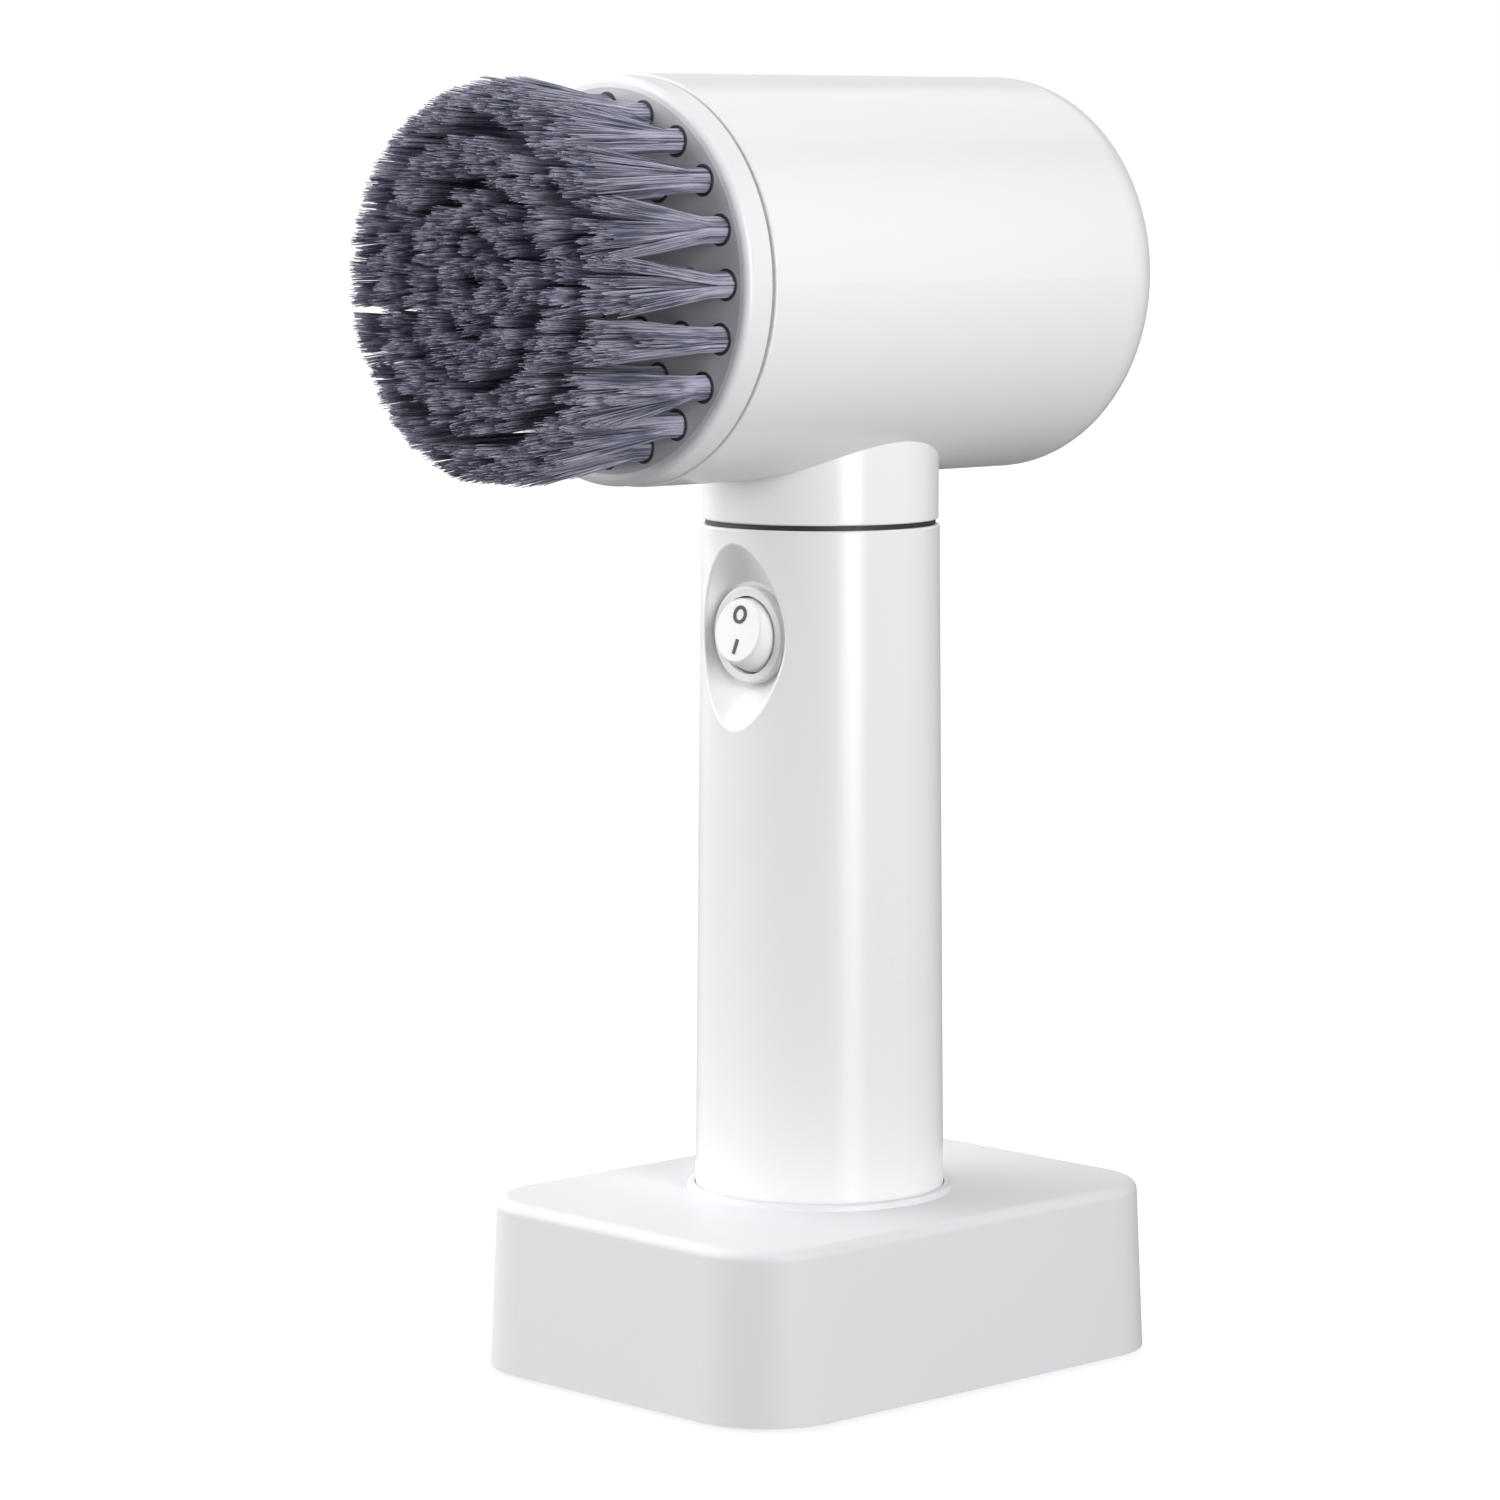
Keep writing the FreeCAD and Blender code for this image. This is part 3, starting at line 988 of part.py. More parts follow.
faults = [thing.Name for thing in doc.Objects if {"Invalid", "Error"} & set(thing.State)]
for thing in nodes:
    if thing.Shape.isNull() or not thing.Shape.isValid():
        faults.append(thing.Label)
if faults:
    raise SystemExit("failed objects: " + ", ".join(faults))
os.makedirs("parts", exist_ok=True)
for thing in nodes:
    thing.Shape.exportStep("parts/%s.step" % thing.Label)
    print("%-18s solids %2d  volume %9.1f" % (thing.Label, len(thing.Shape.Solids), thing.Shape.Volume))
print(len(nodes), "nodes")
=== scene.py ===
# %% [markdown]
# # A cordless cleaning brush in its charging base
#
# This lesson dresses a finished mechanical model. The gears, shells and screws come in from the frame
# with their real sizes, in metres, and none of them is moved or reshaped here. What is added is the
# look: moulded plastics, nylon bristles, rubber, light and a camera.

# %% Load the frame
import json
import math
import random

import bmesh
import bpy
from mathutils import Matrix, Vector


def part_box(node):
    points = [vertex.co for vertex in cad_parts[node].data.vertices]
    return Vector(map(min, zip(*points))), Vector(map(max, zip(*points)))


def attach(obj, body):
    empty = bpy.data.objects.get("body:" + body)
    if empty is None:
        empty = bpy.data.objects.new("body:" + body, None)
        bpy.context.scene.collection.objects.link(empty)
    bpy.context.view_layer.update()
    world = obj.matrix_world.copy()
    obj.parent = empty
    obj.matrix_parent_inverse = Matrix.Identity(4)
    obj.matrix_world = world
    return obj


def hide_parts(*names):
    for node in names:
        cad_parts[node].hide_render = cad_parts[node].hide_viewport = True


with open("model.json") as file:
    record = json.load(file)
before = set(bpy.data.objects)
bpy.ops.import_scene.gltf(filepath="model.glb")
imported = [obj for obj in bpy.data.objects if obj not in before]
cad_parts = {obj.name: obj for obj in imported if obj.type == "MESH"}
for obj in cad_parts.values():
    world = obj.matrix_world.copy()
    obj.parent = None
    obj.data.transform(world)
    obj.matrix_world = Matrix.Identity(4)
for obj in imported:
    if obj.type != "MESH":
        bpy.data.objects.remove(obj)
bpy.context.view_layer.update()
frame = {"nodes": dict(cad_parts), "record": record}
MM = 0.001


# %% [markdown]
# ## Places to build from
#
# The head's axis, the tuft plate and the tip plane are read from the boxes of the frame's own nodes, so
# they follow the mechanical model. The rings of tufts are typed further down and repeat its radii. The
# head's axis runs along Y, the handle's axis along Z.

# %% Read the main places
def middle(node):
    low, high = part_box(node)
    return (low + high) / 2


HEAD_AXIS = middle("brush_disc").z
PLATE_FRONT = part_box("tuft_plate")[0].y
TIP_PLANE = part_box("bristles_inner")[0].y
print("head axis at %.1f mm, tuft plate at %.1f mm, tips at %.1f mm"
      % (HEAD_AXIS / MM, PLATE_FRONT / MM, TIP_PLANE / MM))


# %% [markdown]
# ## Camera
#
# Product pictures of upright tools are taken with a long lens from a little above the middle, turned to
# a three-quarter view. A long lens keeps the handle's sides almost parallel. The camera is placed by an
# azimuth and an elevation around a target, which is easier to reason about than raw coordinates. Its
# numbers aren't round because they were solved for by least squares, then rounded.

# %% Place the camera
AZIMUTH, ELEVATION = math.radians(46.2), math.radians(6.5)
DISTANCE = 0.851
LENS = 127.9
CAMERA_AIM_HEIGHT, AIM_SHIFT = 110 * MM, 11.2 * MM


def view_axes(azimuth, elevation):
    """Right, up and backward directions of a camera that looks at the object from that side."""
    right = Vector((math.cos(azimuth), math.sin(azimuth), 0))
    back = Vector((math.sin(azimuth) * math.cos(elevation), -math.cos(azimuth) * math.cos(elevation),
                   math.sin(elevation)))
    return right, back.cross(right), back


right, up, back = view_axes(AZIMUTH, ELEVATION)
target = Vector((0, 0, CAMERA_AIM_HEIGHT)) - (right + up) * AIM_SHIFT
camera_data = bpy.data.cameras.new("camera")
camera_data.lens = LENS
camera = bpy.data.objects.new("camera", camera_data)
bpy.context.scene.collection.objects.link(camera)
facing = Matrix((right, up, back)).transposed().to_4x4()
camera.matrix_world = Matrix.Translation(target + back * DISTANCE) @ facing
bpy.context.scene.camera = camera
print("camera %.0f mm from its target, lens %.0f mm" % (DISTANCE / MM, LENS))


# %% [markdown]
# ## Studio
#
# White plastic on white paper is read only by its soft greys, and the greys come from a room that isn't
# even. It is dark behind the camera, so whatever faces the camera gets less light, and bright at the
# sides, most of all the left, so a cylinder's edges turn light again. Two tall narrow lights side by
# side, at the right of the camera, draw the bright stripe down the handle. A weak one high up behind
# lights the top of the head.

# %% Hang the strip lights
LIGHT_AIM = Vector((0, 0, 0.11))


def aim(thing, spot, at):
    direction = Vector(at) - Vector(spot)
    thing.matrix_world = Matrix.Translation(spot) @ direction.to_track_quat("-Z", "Y").to_matrix().to_4x4()


def soft_light(name, azimuth, elevation, distance, wide, high, power):
    """Area light at an angle from the camera's own azimuth, aimed at the middle of the object."""
    data = bpy.data.lights.new(name, "AREA")
    data.shape = "RECTANGLE"
    data.size, data.size_y = wide, high
    data.energy = power
    light = bpy.data.objects.new(name, data)
    bpy.context.scene.collection.objects.link(light)
    away = view_axes(AZIMUTH + math.radians(azimuth), math.radians(elevation))[2]
    aim(light, LIGHT_AIM + away * distance, LIGHT_AIM)
    print("%s: %.1f W, %.1f m away" % (name, power, distance))


soft_light("key_strip", 33, 8, 0.8, 0.14, 0.8, 3.9)
soft_light("second_strip", 24, 8, 0.8, 0.12, 0.8, 2.6)
soft_light("back_light", 150, 50, 0.9, 0.5, 0.5, 0.6)

# %% [markdown]
# The room itself is the world's background. Its brightness is a ramp over the compass around the object,
# counted from straight behind it, past the left, the camera and the right, and back again. The ceiling
# and the table top get a brightness of their own, and the camera sees plain white paper instead. The
# levels began as a least-squares estimate from test renders with one light each, and were then moved.

# %% Light the room
BEHIND, LEFT_REAR, LEFT, RIGHT, DARK = 0.7, 3.0, 4.4, 0.9, 0.0
AROUND = (BEHIND, LEFT_REAR, LEFT, DARK, DARK, DARK, RIGHT, DARK, BEHIND)
CEILING, TABLE_TOP = 0.5, 0.22
CEILING_STARTS, CEILING_FULL = 0.64, 0.87
TABLE_STARTS, TABLE_FULL = 0.0, -0.12
world = bpy.data.worlds.new("studio_white")
bpy.context.scene.world = world
world.use_nodes = True
studio = world.node_tree


def studio_node(kind, *inputs, **settings):
    """Node of the room: each input is a number, a colour or another node's output."""
    made = studio.nodes.new(kind)
    for name, value in settings.items():
        setattr(made, name, value)
    for socket, source in zip(made.inputs, inputs):
        if isinstance(source, bpy.types.NodeSocket):
            studio.links.new(source, socket)
        elif source is not None:
            socket.default_value = source
    return made


def band(height, starts, full):
    """0 until the first height in the sky, then rising to 1 at the second, which may be the lower."""
    return studio_node("ShaderNodeMapRange", height, starts, full, 0.0, 1.0).outputs[0]


seen = studio_node("ShaderNodeTexCoord").outputs["Generated"]
flat_right, _, flat_back = view_axes(AZIMUTH, 0)
rightward, towards = [
    studio_node("ShaderNodeVectorMath", seen, tuple(axis), operation="DOT_PRODUCT").outputs["Value"]
    for axis in (flat_right, flat_back)]
compass = studio_node("ShaderNodeMath", rightward, towards, operation="ARCTAN2").outputs[0]
share = studio_node("ShaderNodeMapRange", compass, -math.pi, math.pi, 0.0, 1.0).outputs[0]
ramp_node = studio_node("ShaderNodeValToRGB", share)
ramp = ramp_node.color_ramp
ramp.elements[1].position = 1.0
for step in range(1, len(AROUND) - 1):
    ramp.elements.new(step / (len(AROUND) - 1))
for stop, level in zip(ramp.elements, AROUND):
    stop.color = (level, level, level, 1)
height = studio_node("ShaderNodeSeparateXYZ", seen).outputs["Z"]
level = ramp_node.outputs["Color"]
bands = ((CEILING_STARTS, CEILING_FULL, CEILING), (TABLE_STARTS, TABLE_FULL, TABLE_TOP))
for starts, full, value in bands:
    plain = (value, value, value, 1)
    level = studio_node("ShaderNodeMixRGB", band(height, starts, full), level, plain).outputs[0]
room = studio.nodes["Background"]
studio.links.new(level, room.inputs["Color"])
paper_white = studio_node("ShaderNodeBackground", (1, 1, 1, 1), 1.0)
camera_ray = studio_node("ShaderNodeLightPath").outputs["Is Camera Ray"]
shown = studio_node("ShaderNodeMixShader", camera_ray, room.outputs[0], paper_white.outputs[0])
studio.links.new(shown.outputs[0], studio.nodes["World Output"].inputs["Surface"])
bpy.context.scene.view_settings.view_transform = "Standard"


# %% [markdown]
# ## A small kit for materials
#
# Each finish is a Principled shader plus a few procedural nodes. The helpers below only shorten the
# wiring: `finish` starts a material, `noise` gives a pattern in object space, which is real size here,
# and `relief` turns a pattern into a bump of a stated height.

# %% Make the material helpers
class Finish:
    """A Principled material and shortcuts to the nodes that pattern it."""

    def __init__(self, name, colour, roughness, **sockets):
        self.material = bpy.data.materials.new(name)
        self.material.use_nodes = True
        self.tree = self.material.node_tree
        self.shader = self.tree.nodes["Principled BSDF"]
        self.shader.inputs["Base Color"].default_value = (*colour, 1)
        self.shader.inputs["Roughness"].default_value = roughness
        for socket, value in sockets.items():
            self.shader.inputs[socket.replace("_", " ")].default_value = value
        self.place = self.tree.nodes.new("ShaderNodeTexCoord").outputs["Object"]

    def node(self, kind, **links):
        made = self.tree.nodes.new(kind)
        for socket, source in links.items():
            self.plug(source, made.inputs[socket.replace("_", " ")])
        return made

    def plug(self, source, socket):
        if isinstance(source, (int, float)):
            socket.default_value = source
        else:
            self.tree.links.new(source, socket)

    def noise(self, size, detail=2.0, stretch=(1, 1, 1)):
        """Noise whose features are about that size in metres, longer where stretch is above 1."""
        scaled = self.node("ShaderNodeMapping", Vector=self.place)
        scaled.inputs["Scale"].default_value = [1 / (size * part) for part in stretch]
        made = self.node("ShaderNodeTexNoise", Vector=scaled.outputs["Vector"])
        made.inputs["Scale"].default_value = 1.0
        made.inputs["Detail"].default_value = detail
        return made.outputs["Fac"]

    def between(self, pattern, low, high):
        """Turn a pattern of 0 to 1 into a value from low to high."""
        made = self.node("ShaderNodeMapRange", Value=pattern)
        made.inputs["From Min"].default_value, made.inputs["From Max"].default_value = 0.3, 0.7
        made.inputs["To Min"].default_value, made.inputs["To Max"].default_value = low, high
        return made.outputs["Result"]

    def tint(self, pattern, first, second):
        ramp = self.node("ShaderNodeValToRGB", Fac=pattern)
        ramp.color_ramp.elements[0].position, ramp.color_ramp.elements[1].position = 0.3, 0.7
        ramp.color_ramp.elements[0].color = (*first, 1)
        ramp.color_ramp.elements[1].color = (*second, 1)
        self.plug(ramp.outputs["Color"], self.shader.inputs["Base Color"])

    def rough(self, pattern, low, high):
        self.plug(self.between(pattern, low, high), self.shader.inputs["Roughness"])

    def relief(self, pattern, height, strength=1.0):
        bump = self.node("ShaderNodeBump", Height=pattern)
        bump.inputs["Distance"].default_value = height
        bump.inputs["Strength"].default_value = strength
        self.plug(bump.outputs["Normal"], self.shader.inputs["Normal"])


def grey(level, warm=0.0):
    return (level + warm, level, level - warm)


# %% [markdown]
# ## White plastics
#
# The head is polished and the handle a little duller, both moulded in white ABS. Real mouldings are
# never perfectly even: the gloss drifts over a few centimetres, and a faint unevenness under the surface
# breaks long reflections. The base is duller and a little greyer, with a fine spark-eroded grain.

# %% Mix the white plastics
def moulded_white(name, colour, gloss, drift, grain):
    """White plastic: base colour, roughness, how much the roughness drifts and the grain's height."""
    paint = Finish(name, colour, gloss, IOR=1.5, Specular_IOR_Level=0.5)
    cloudy = paint.noise(0.03, 3.0)
    paint.rough(cloudy, gloss - drift, gloss + drift)
    paint.tint(paint.noise(0.05, 2.0), colour, tuple(part * 0.985 for part in colour))
    paint.relief(paint.noise(*grain[:2]), grain[2], grain[3])
    return paint.material


HOUSING = moulded_white("housing_plastic", (0.90, 0.90, 0.905), 0.23, 0.03, (0.012, 1.0, 0.00002, 0.25))
HANDLE = moulded_white("handle_plastic", (0.87, 0.87, 0.875), 0.26, 0.02, (0.010, 1.0, 0.00002, 0.08))
BASE = moulded_white("base_plastic", (0.77, 0.78, 0.80), 0.46, 0.03, (0.0005, 2.0, 0.00002, 0.5))
DISC = moulded_white("disc_plastic", (0.86, 0.87, 0.885), 0.30, 0.02, (0.010, 1.0, 0.00002, 0.2))
SWITCH = moulded_white("switch_plastic", (0.84, 0.845, 0.85), 0.34, 0.02, (0.0008, 2.0, 0.00001, 0.3))
ROCKER = moulded_white("rocker_plastic", (0.86, 0.865, 0.87), 0.36, 0.02, (0.0008, 2.0, 0.00001, 0.3))
PLATE = moulded_white("plate_plastic", (0.60, 0.60, 0.63), 0.48, 0.03, (0.0006, 2.0, 0.00002, 0.4))
CAP = moulded_white("cap_plastic", (0.82, 0.82, 0.825), 0.40, 0.03, (0.0008, 2.0, 0.00002, 0.4))


# %% [markdown]
# ## Rubber, metals and the plastics inside
#
# The dark seal, the mat and everything inside the tool get plain finishes: two close tones and a little
# relief, both from one noise pattern. Steel has the pattern stretched one way, like a drawn surface.

# %% Mix the other finishes
def simple(name, first, second, roughness, size, height, metallic=0.0, stretch=(1, 1, 1)):
    paint = Finish(name, first, roughness, Metallic=metallic)
    pattern = paint.noise(size, 3.0, stretch)
    paint.tint(pattern, first, second)
    paint.rough(pattern, roughness * 0.85, min(1.0, roughness * 1.15))
    paint.relief(pattern, height, 0.4)
    return paint.material


RUBBER = simple("seal_rubber", grey(0.018), grey(0.028), 0.55, 0.0006, 0.00002)
MAT = simple("mat_rubber", grey(0.05), grey(0.07), 0.75, 0.0009, 0.00006)
INK = simple("mark_ink", grey(0.02), grey(0.03), 0.5, 0.0004, 0.000005)
STEEL = simple("zinc_steel", grey(0.55), grey(0.66), 0.32, 0.0015, 0.00001, 1.0, (1, 1, 6))
CAN = simple("can_steel", grey(0.60), grey(0.68), 0.28, 0.0012, 0.00001, 1.0, (1, 8, 1))
IRON = simple("dark_iron", grey(0.10), grey(0.16), 0.6, 0.001, 0.00003, 0.6)
BRONZE = simple("sintered_bronze", (0.46, 0.30, 0.14), (0.58, 0.40, 0.20), 0.42, 0.0006, 0.00002, 1.0)
GOLD = simple("gold_contact", (0.85, 0.62, 0.25), (0.92, 0.70, 0.32), 0.22, 0.001, 0.000005, 1.0)
NICKEL = simple("nickel_strip", (0.62, 0.59, 0.54), (0.70, 0.67, 0.62), 0.30, 0.001, 0.000005, 1.0)
ACETAL = simple("gear_acetal", (0.78, 0.75, 0.66), (0.82, 0.79, 0.70), 0.38, 0.002, 0.00001)
NYLON_BLACK = simple("glass_nylon", grey(0.025), grey(0.04), 0.5, 0.0005, 0.00002)
CRADLE = simple("cradle_plastic", grey(0.10), grey(0.13), 0.5, 0.001, 0.00002)
BOARD = simple("glass_board", (0.015, 0.10, 0.045), (0.03, 0.15, 0.07), 0.35, 0.0008, 0.00001)
CELL = simple("cell_wrap", (0.03, 0.12, 0.30), (0.04, 0.15, 0.35), 0.28, 0.004, 0.00001)
WIRE = simple("lead_silicone", (0.45, 0.03, 0.025), (0.52, 0.05, 0.04), 0.45, 0.002, 0.00001)

NODE_FINISH = {
    "housing_white": HOUSING, "handle_white": HANDLE, "base_white": BASE, "disc_white": DISC,
    "switch_white": SWITCH, "rocker_white": ROCKER, "plate_grey": PLATE, "seal_dark": RUBBER,
    "mat_grey": MAT, "mark_ink": INK, "screw_steel": STEEL, "weight_steel": IRON, "gear_nylon": ACETAL,
    "case_black": NYLON_BLACK, "motor_steel": CAN, "magnet_dark": IRON, "rotor_steel": STEEL,
    "bush_bronze": BRONZE, "contact_gold": GOLD, "board_green": BOARD, "cell_blue": CELL,
    "nickel": NICKEL, "inlet_steel": CAN, "lead_red": WIRE, "cradle_grey": CRADLE,
}
slot_of = {part["node"]: part["material_slot"] for part in frame["record"]["subparts"]}
for name, thing in frame["nodes"].items():
    if slot_of[name] not in NODE_FINISH:
        continue
    thing.data.materials.clear()
    thing.data.materials.append(NODE_FINISH[slot_of[name]])
frame["nodes"]["bottom_cap"].data.materials[0] = CAP
print(len(bpy.data.materials), "materials")


# %% [markdown]
# ## Floor
#
# A plain sheet of pale paper, big enough for every view. It glows a little, so it stays as white as the
# background and keeps only a faint contact shadow. The glow isn't used as a lamp, and the paper is hidden
# from bounced light, so it doesn't wash out the object.

# %% Lay the floor
FLOOR_REACH, FLOOR_DROP = 6.0, 0.0001
PAPER_GLOW = 0.84
paper = simple("paper", grey(0.20), grey(0.205), 0.9, 0.02, 0.00001)
glow = paper.node_tree.nodes["Principled BSDF"]
glow.inputs["Emission Color"].default_value = (1, 1, 1, 1)
glow.inputs["Emission Strength"].default_value = PAPER_GLOW
paper.cycles.emission_sampling = "NONE"
mesh = bpy.data.meshes.new("floor")
corners = [(x * FLOOR_REACH, y * FLOOR_REACH, 0) for x, y in ((-1, -1), (1, -1), (1, 1), (-1, 1))]
mesh.from_pydata(corners, [], [(0, 1, 2, 3)])
floor = bpy.data.objects.new("floor", mesh)
bpy.context.scene.collection.objects.link(floor)
floor.location.z = -FLOOR_DROP
floor.data.materials.append(paper)
floor.visible_diffuse = False
floor.visible_glossy = False


# %% [markdown]
# ## Bristles
#
# A tuft is a bundle of crimped nylon filaments, folded in half and stapled into a hole. Just above the
# hole the bundle is tight; towards the tips it opens like a fan, because the filaments push each other
# apart. Hair particles could draw this, but they don't export, so each filament is a thin three-sided
# tube that is built straight into a mesh, one for each of the frame's three groups of tufts. The tips are
# trimmed to a crowned surface: flat in the middle and rounded down at the edge.

# %% Shape one filament
random.seed(7)
HEAD = Vector((0, 0, HEAD_AXIS))
FIELD_RADIUS = 31.2 * MM
TRIM_ROUND = 9.0 * MM
FILAMENT = 0.135 * MM
TIGHT = 0.15


def trim_depth(radius):
    """How far the trimmed surface lies behind the tip plane at a distance from the head's axis."""
    over = max(0.0, radius - (FIELD_RADIUS - TRIM_ROUND))
    return TRIM_ROUND - math.sqrt(max(0.0, TRIM_ROUND ** 2 - min(over, TRIM_ROUND) ** 2))


def add_filament(points, faces, root, tip, sag, thickness):
    """Three-sided tube that leaves its hole straight, then leans over to its tip."""
    lean = Vector((tip.x - root.x, 0, tip.z - root.z))
    rise = Vector((0, tip.y - root.y, 0))
    first = len(points)
    for along, width in ((0.0, 1.0), (TIGHT, 1.0), (0.55, 1.0), (1.0, 0.45)):
        bent = max(0.0, along - TIGHT) / (1 - TIGHT)
        centre = root + rise * along + lean * bent + sag * math.sin(math.pi * bent)
        for corner in range(3):
            angle = 2 * math.pi * corner / 3
            points.append(centre + Vector((math.cos(angle), 0, math.sin(angle))) * thickness * width)
    for ring in range(3):
        for corner in range(3):
            low = first + 3 * ring
            after = (corner + 1) % 3
            faces.append((low + corner, low + 3 + corner, low + 3 + after, low + after))
    faces.append((first + 11, first + 10, first + 9))


# %% [markdown]
# The fan isn't round. Folding a tuft over its staple splits it into two halves that lean apart along the
# ring, so the side view shows a V with a dark gap, and the face of the brush shows separate clumps with
# shadow between them. Inside a half the filaments gather into a few locks. Each half is trimmed a
# little longer or shorter than the next, which gives the worn, shingled look of a real brush.

# %% Build the tufts ring by ring
ROOT = 1.95 * MM
HALF_LEAN = 2.0 * MM
CLUMP_OUT, CLUMP_ACROSS = 3.6 * MM, 2.9 * MM
LOCKS, LOCK_PULL = 5, 0.35
# the rest are in millimetres: how much halves and filaments differ, and how far a half's edge is cut back
TRIM_SPREAD, DRIFT_OUT, DRIFT_ACROSS = 0.6, 0.3, 0.25
STRAY, CRIMP, RAGGED, DOMED = 0.14, 0.12, 1.7, 1.3


def in_disc():
    angle, radius = random.uniform(0, 2 * math.pi), math.sqrt(random.random())
    return radius * math.cos(angle), radius * math.sin(angle)


def tuft(points, faces, place, outward, filaments, reach):
    """One tuft: place is its hole, outward its direction from the axis, reach its lean away from it."""
    across = Vector((outward.z, 0, -outward.x))
    for half in (1, -1):
        trim = random.gauss(0, TRIM_SPREAD) * MM
        drift = (outward * random.gauss(0, DRIFT_OUT) + across * random.gauss(0, DRIFT_ACROSS)) * MM
        locks = [in_disc() for _ in range(LOCKS)]
        for _ in range(filaments // 2):
            out, side = in_disc()
            lock = min(locks, key=lambda spot: (spot[0] - out) ** 2 + (spot[1] - side) ** 2)
            root = place + outward * out * ROOT
            root += across * half * (side + 1) / 2 * math.sqrt(1 - out * out) * ROOT
            out, side = out + (lock[0] - out) * LOCK_PULL, side + (lock[1] - side) * LOCK_PULL
            tip = place + drift + outward * (reach + out * CLUMP_OUT)
            tip += across * half * (HALF_LEAN + side * CLUMP_ACROSS)
            tip += Vector((random.gauss(0, STRAY), 0, random.gauss(0, STRAY))) * MM
            distance = math.hypot(tip.x, tip.z - HEAD_AXIS)
            if distance > FIELD_RADIUS:
                pull = FIELD_RADIUS / distance
                tip.x, tip.z = tip.x * pull, HEAD_AXIS + (tip.z - HEAD_AXIS) * pull
                distance = FIELD_RADIUS
            short = abs(random.gauss(0, RAGGED)) * MM + max(0.0, trim)
            short += (out * out + side * side) * DOMED * MM
            tip.y = TIP_PLANE + trim_depth(distance) + short
            sag = Vector((random.gauss(0, CRIMP), 0, random.gauss(0, CRIMP))) * MM
            add_filament(points, faces, root, tip, sag, FILAMENT * random.uniform(0.8, 1.15))


def ride_brush(name, points, faces, finish):
    mesh = bpy.data.meshes.new(name)
    mesh.from_pydata(points, [], faces)
    mesh.update()
    thing = bpy.data.objects.new(name, mesh)
    bpy.context.scene.collection.objects.link(thing)
    thing.data.materials.append(finish)
    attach(thing, "brush_head")
    print(name, len(faces), "faces")
    return thing


def ring_places(radius, count):
    """Hole centres on the tuft plate, with the direction from the axis to each."""
    for index in range(count):
        angle = 2 * math.pi * index / count
        outward = Vector((math.cos(angle), 0, -math.sin(angle)))
        place = HEAD + outward * radius * MM
        place.y = PLATE_FRONT
        yield place, outward


def bristle_ring(name, node, rings, finish):
    """A mesh of tufts for one frame node. Each ring is (radius in mm, tufts, reach in mm)."""
    points, faces = [], []
    for radius, count, reach in rings:
        for place, outward in ring_places(radius, count):
            tuft(points, faces, place, outward, FILAMENTS, reach * MM)
    thing = ride_brush(name, points, faces, finish)
    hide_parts(node)


def nylon(name):
    """Slate nylon: every filament is its own mesh island, so each takes its own tone."""
    paint = Finish(name, (0.20, 0.20, 0.24), 0.40, Specular_IOR_Level=0.5)
    each = paint.node("ShaderNodeNewGeometry").outputs["Random Per Island"]
    along = paint.noise(0.0015, 2.0, (1, 10, 1))
    mixed = paint.node("ShaderNodeMath", Value=each).outputs[0]
    blend = mixed.node
    blend.operation = "MULTIPLY_ADD"
    blend.inputs[1].default_value = 0.4
    paint.plug(along, blend.inputs[2])
    tones = paint.between(mixed, 0.0, 1.0).node
    tones.inputs["From Min"].default_value, tones.inputs["From Max"].default_value = 0.35, 1.0
    paint.tint(tones.outputs["Result"], DARK_STRAND, LIGHT_STRAND)
    return paint.material


FILAMENTS = 380
DARK_STRAND, LIGHT_STRAND = (0.15, 0.16, 0.23), (0.60, 0.59, 0.70)
RINGS = {"outer": [(26.3, 20, 1.5)], "middle": [(18.4, 14, 0.6)], "inner": [(10.6, 8, 0.3), (4.4, 3, 0.1)]}
NYLON = nylon("bristle_nylon")
for part, rings in RINGS.items():
    bristle_ring("bristle_tufts_" + part, "bristles_" + part, rings, NYLON)
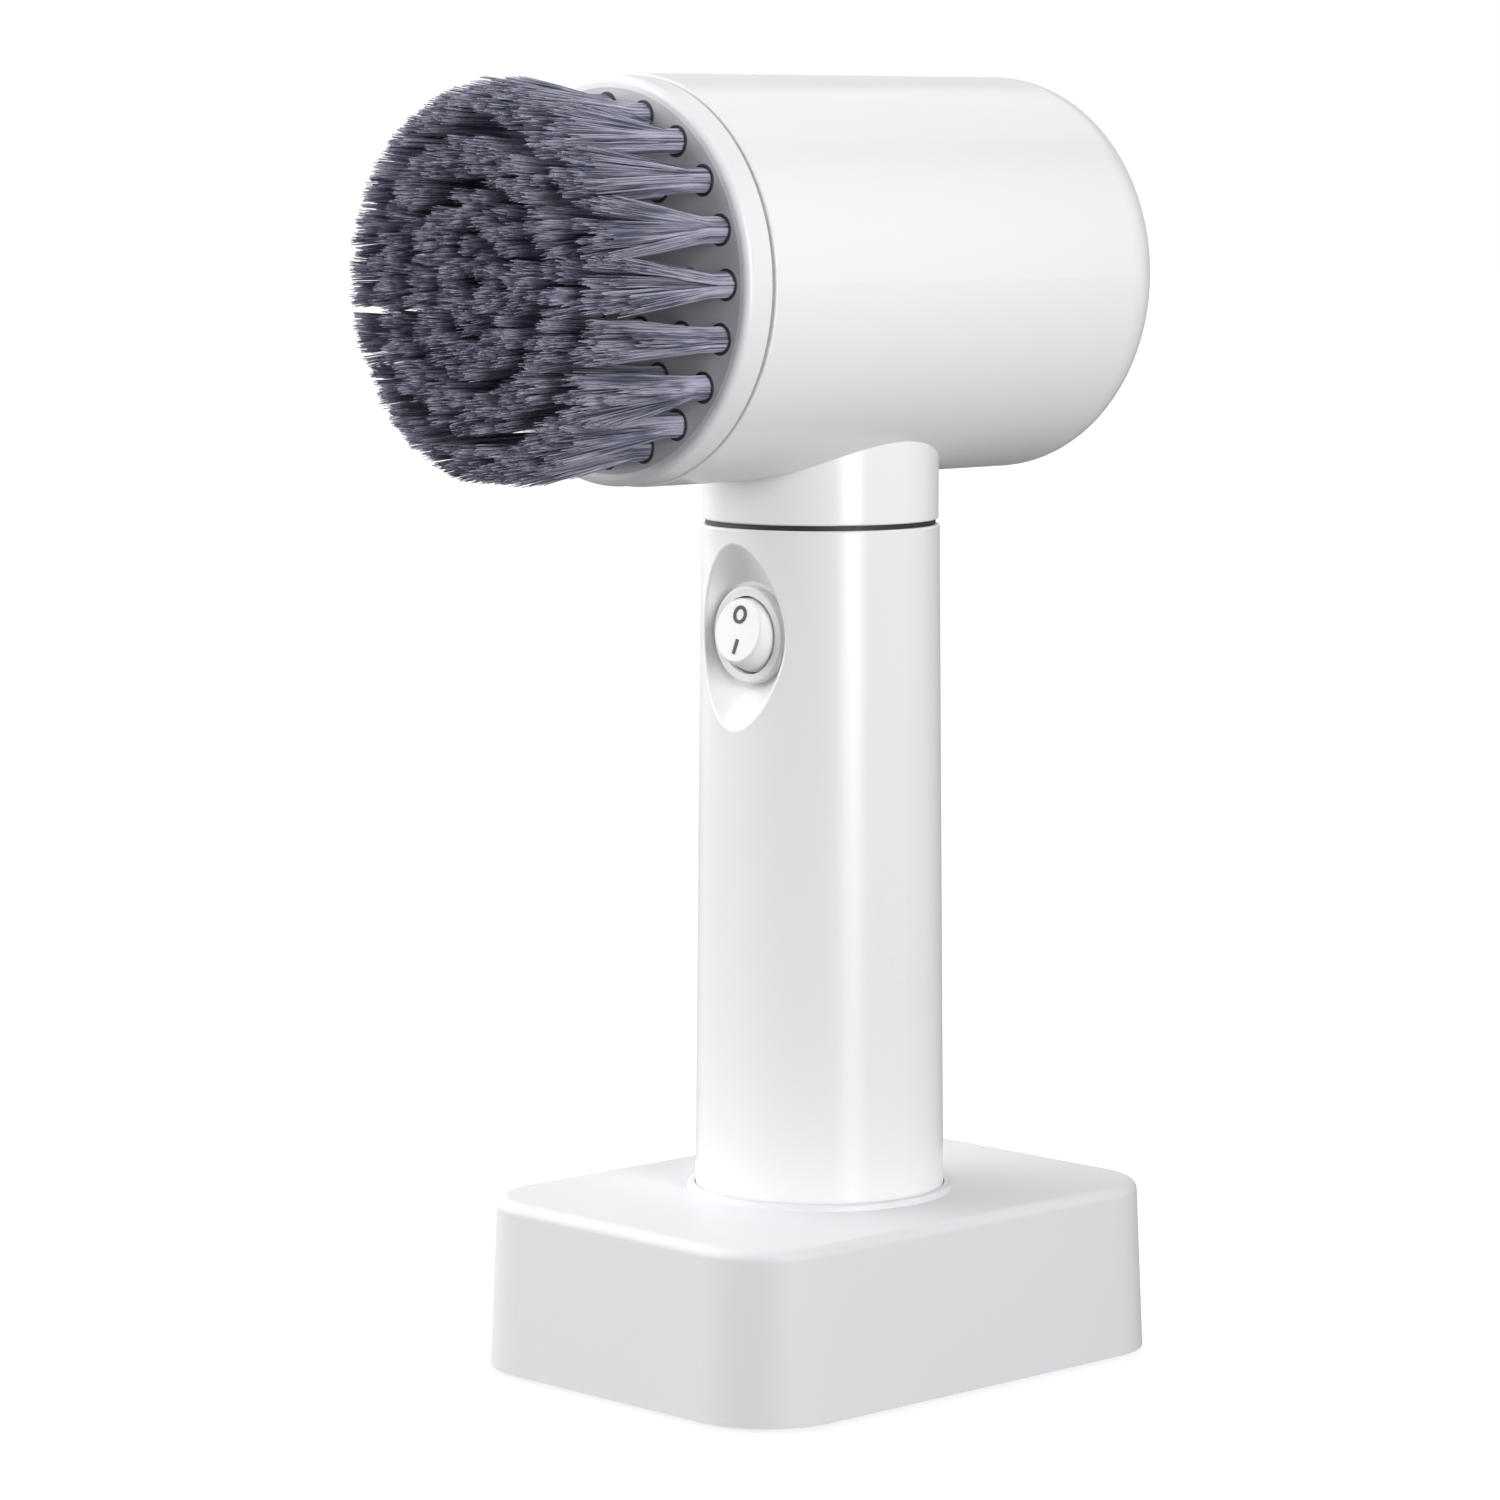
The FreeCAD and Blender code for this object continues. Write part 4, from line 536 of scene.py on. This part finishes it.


# %% [markdown]
# Each tuft sinks into a drilled hole, and the shadow inside it shows as a thin dark line. The plate has
# no holes in the mechanical model, so a low, near-black ring with a rounded top stands at each hole
# instead: painted shade where the hole's shadow would fall.

# %% Ring the holes with painted shade
SHADE_RING_PROFILE = ((1.9, 0.02), (2.1, 0.16), (2.3, 0.16), (2.45, 0.02))
SHADE_RING_STEPS = 28
points, faces = [], []
for rings in RINGS.values():
    for radius, count, _ in rings:
        for place, _ in ring_places(radius, count):
            first = len(points)
            for step in range(SHADE_RING_STEPS):
                angle = 2 * math.pi * step / SHADE_RING_STEPS
                away = Vector((math.cos(angle), 0, math.sin(angle)))
                points += [place + (away * wide + Vector((0, -high, 0))) * MM for wide, high in SHADE_RING_PROFILE]
            for step in range(SHADE_RING_STEPS):
                here, there = first + 4 * step, first + 4 * ((step + 1) % SHADE_RING_STEPS)
                faces += [(here + k, here + k + 1, there + k + 1, there + k) for k in range(3)]
HOLE_SHADOW = simple("hole_shadow", (0.03, 0.03, 0.04), (0.05, 0.05, 0.06), 0.6, 0.0008, 0.00002)
# These near-black rings are painted shade: they stand where the shadow inside each hole would fall.
painted_hole_shade = ride_brush("tuft_hole_painted_shade", points, faces, HOLE_SHADOW)


# %% [markdown]
# ## Marks on the rocker
#
# The straight mark on this rocker is printed at a slant. The marks of the mechanical model are
# copied, and the half of the copy that is the bar is turned about its own middle, in the plane of the
# rocker's sloping face.

# %% Slant the bar
BAR_SLANT = math.radians(12)
made = bmesh.new()
made.from_mesh(frame["nodes"]["switch_marks"].data)
made.transform(frame["nodes"]["switch_marks"].matrix_world)
split_height = middle("switch_rocker").z
bar = [vert for vert in made.verts if vert.co.z < split_height]
bar_middle = sum((vert.co for vert in bar), Vector()) / len(bar)
bar_faces = [face for face in made.faces if face.calc_center_median().z < split_height]
face_normal = max(bar_faces, key=lambda face: face.calc_area()).normal
spin = Matrix.Rotation(-BAR_SLANT, 4, face_normal)
turn = Matrix.Translation(bar_middle) @ spin @ Matrix.Translation(-bar_middle)
bmesh.ops.transform(made, matrix=turn, verts=bar)
mesh = bpy.data.meshes.new("rocker_marks")
made.to_mesh(mesh)
made.free()
marks = bpy.data.objects.new("rocker_marks", mesh)
bpy.context.scene.collection.objects.link(marks)
mesh.materials.clear()
mesh.materials.append(INK)
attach(marks, "rocker")
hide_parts("switch_marks")
print("bar turned about", tuple(round(part, 2) for part in face_normal))
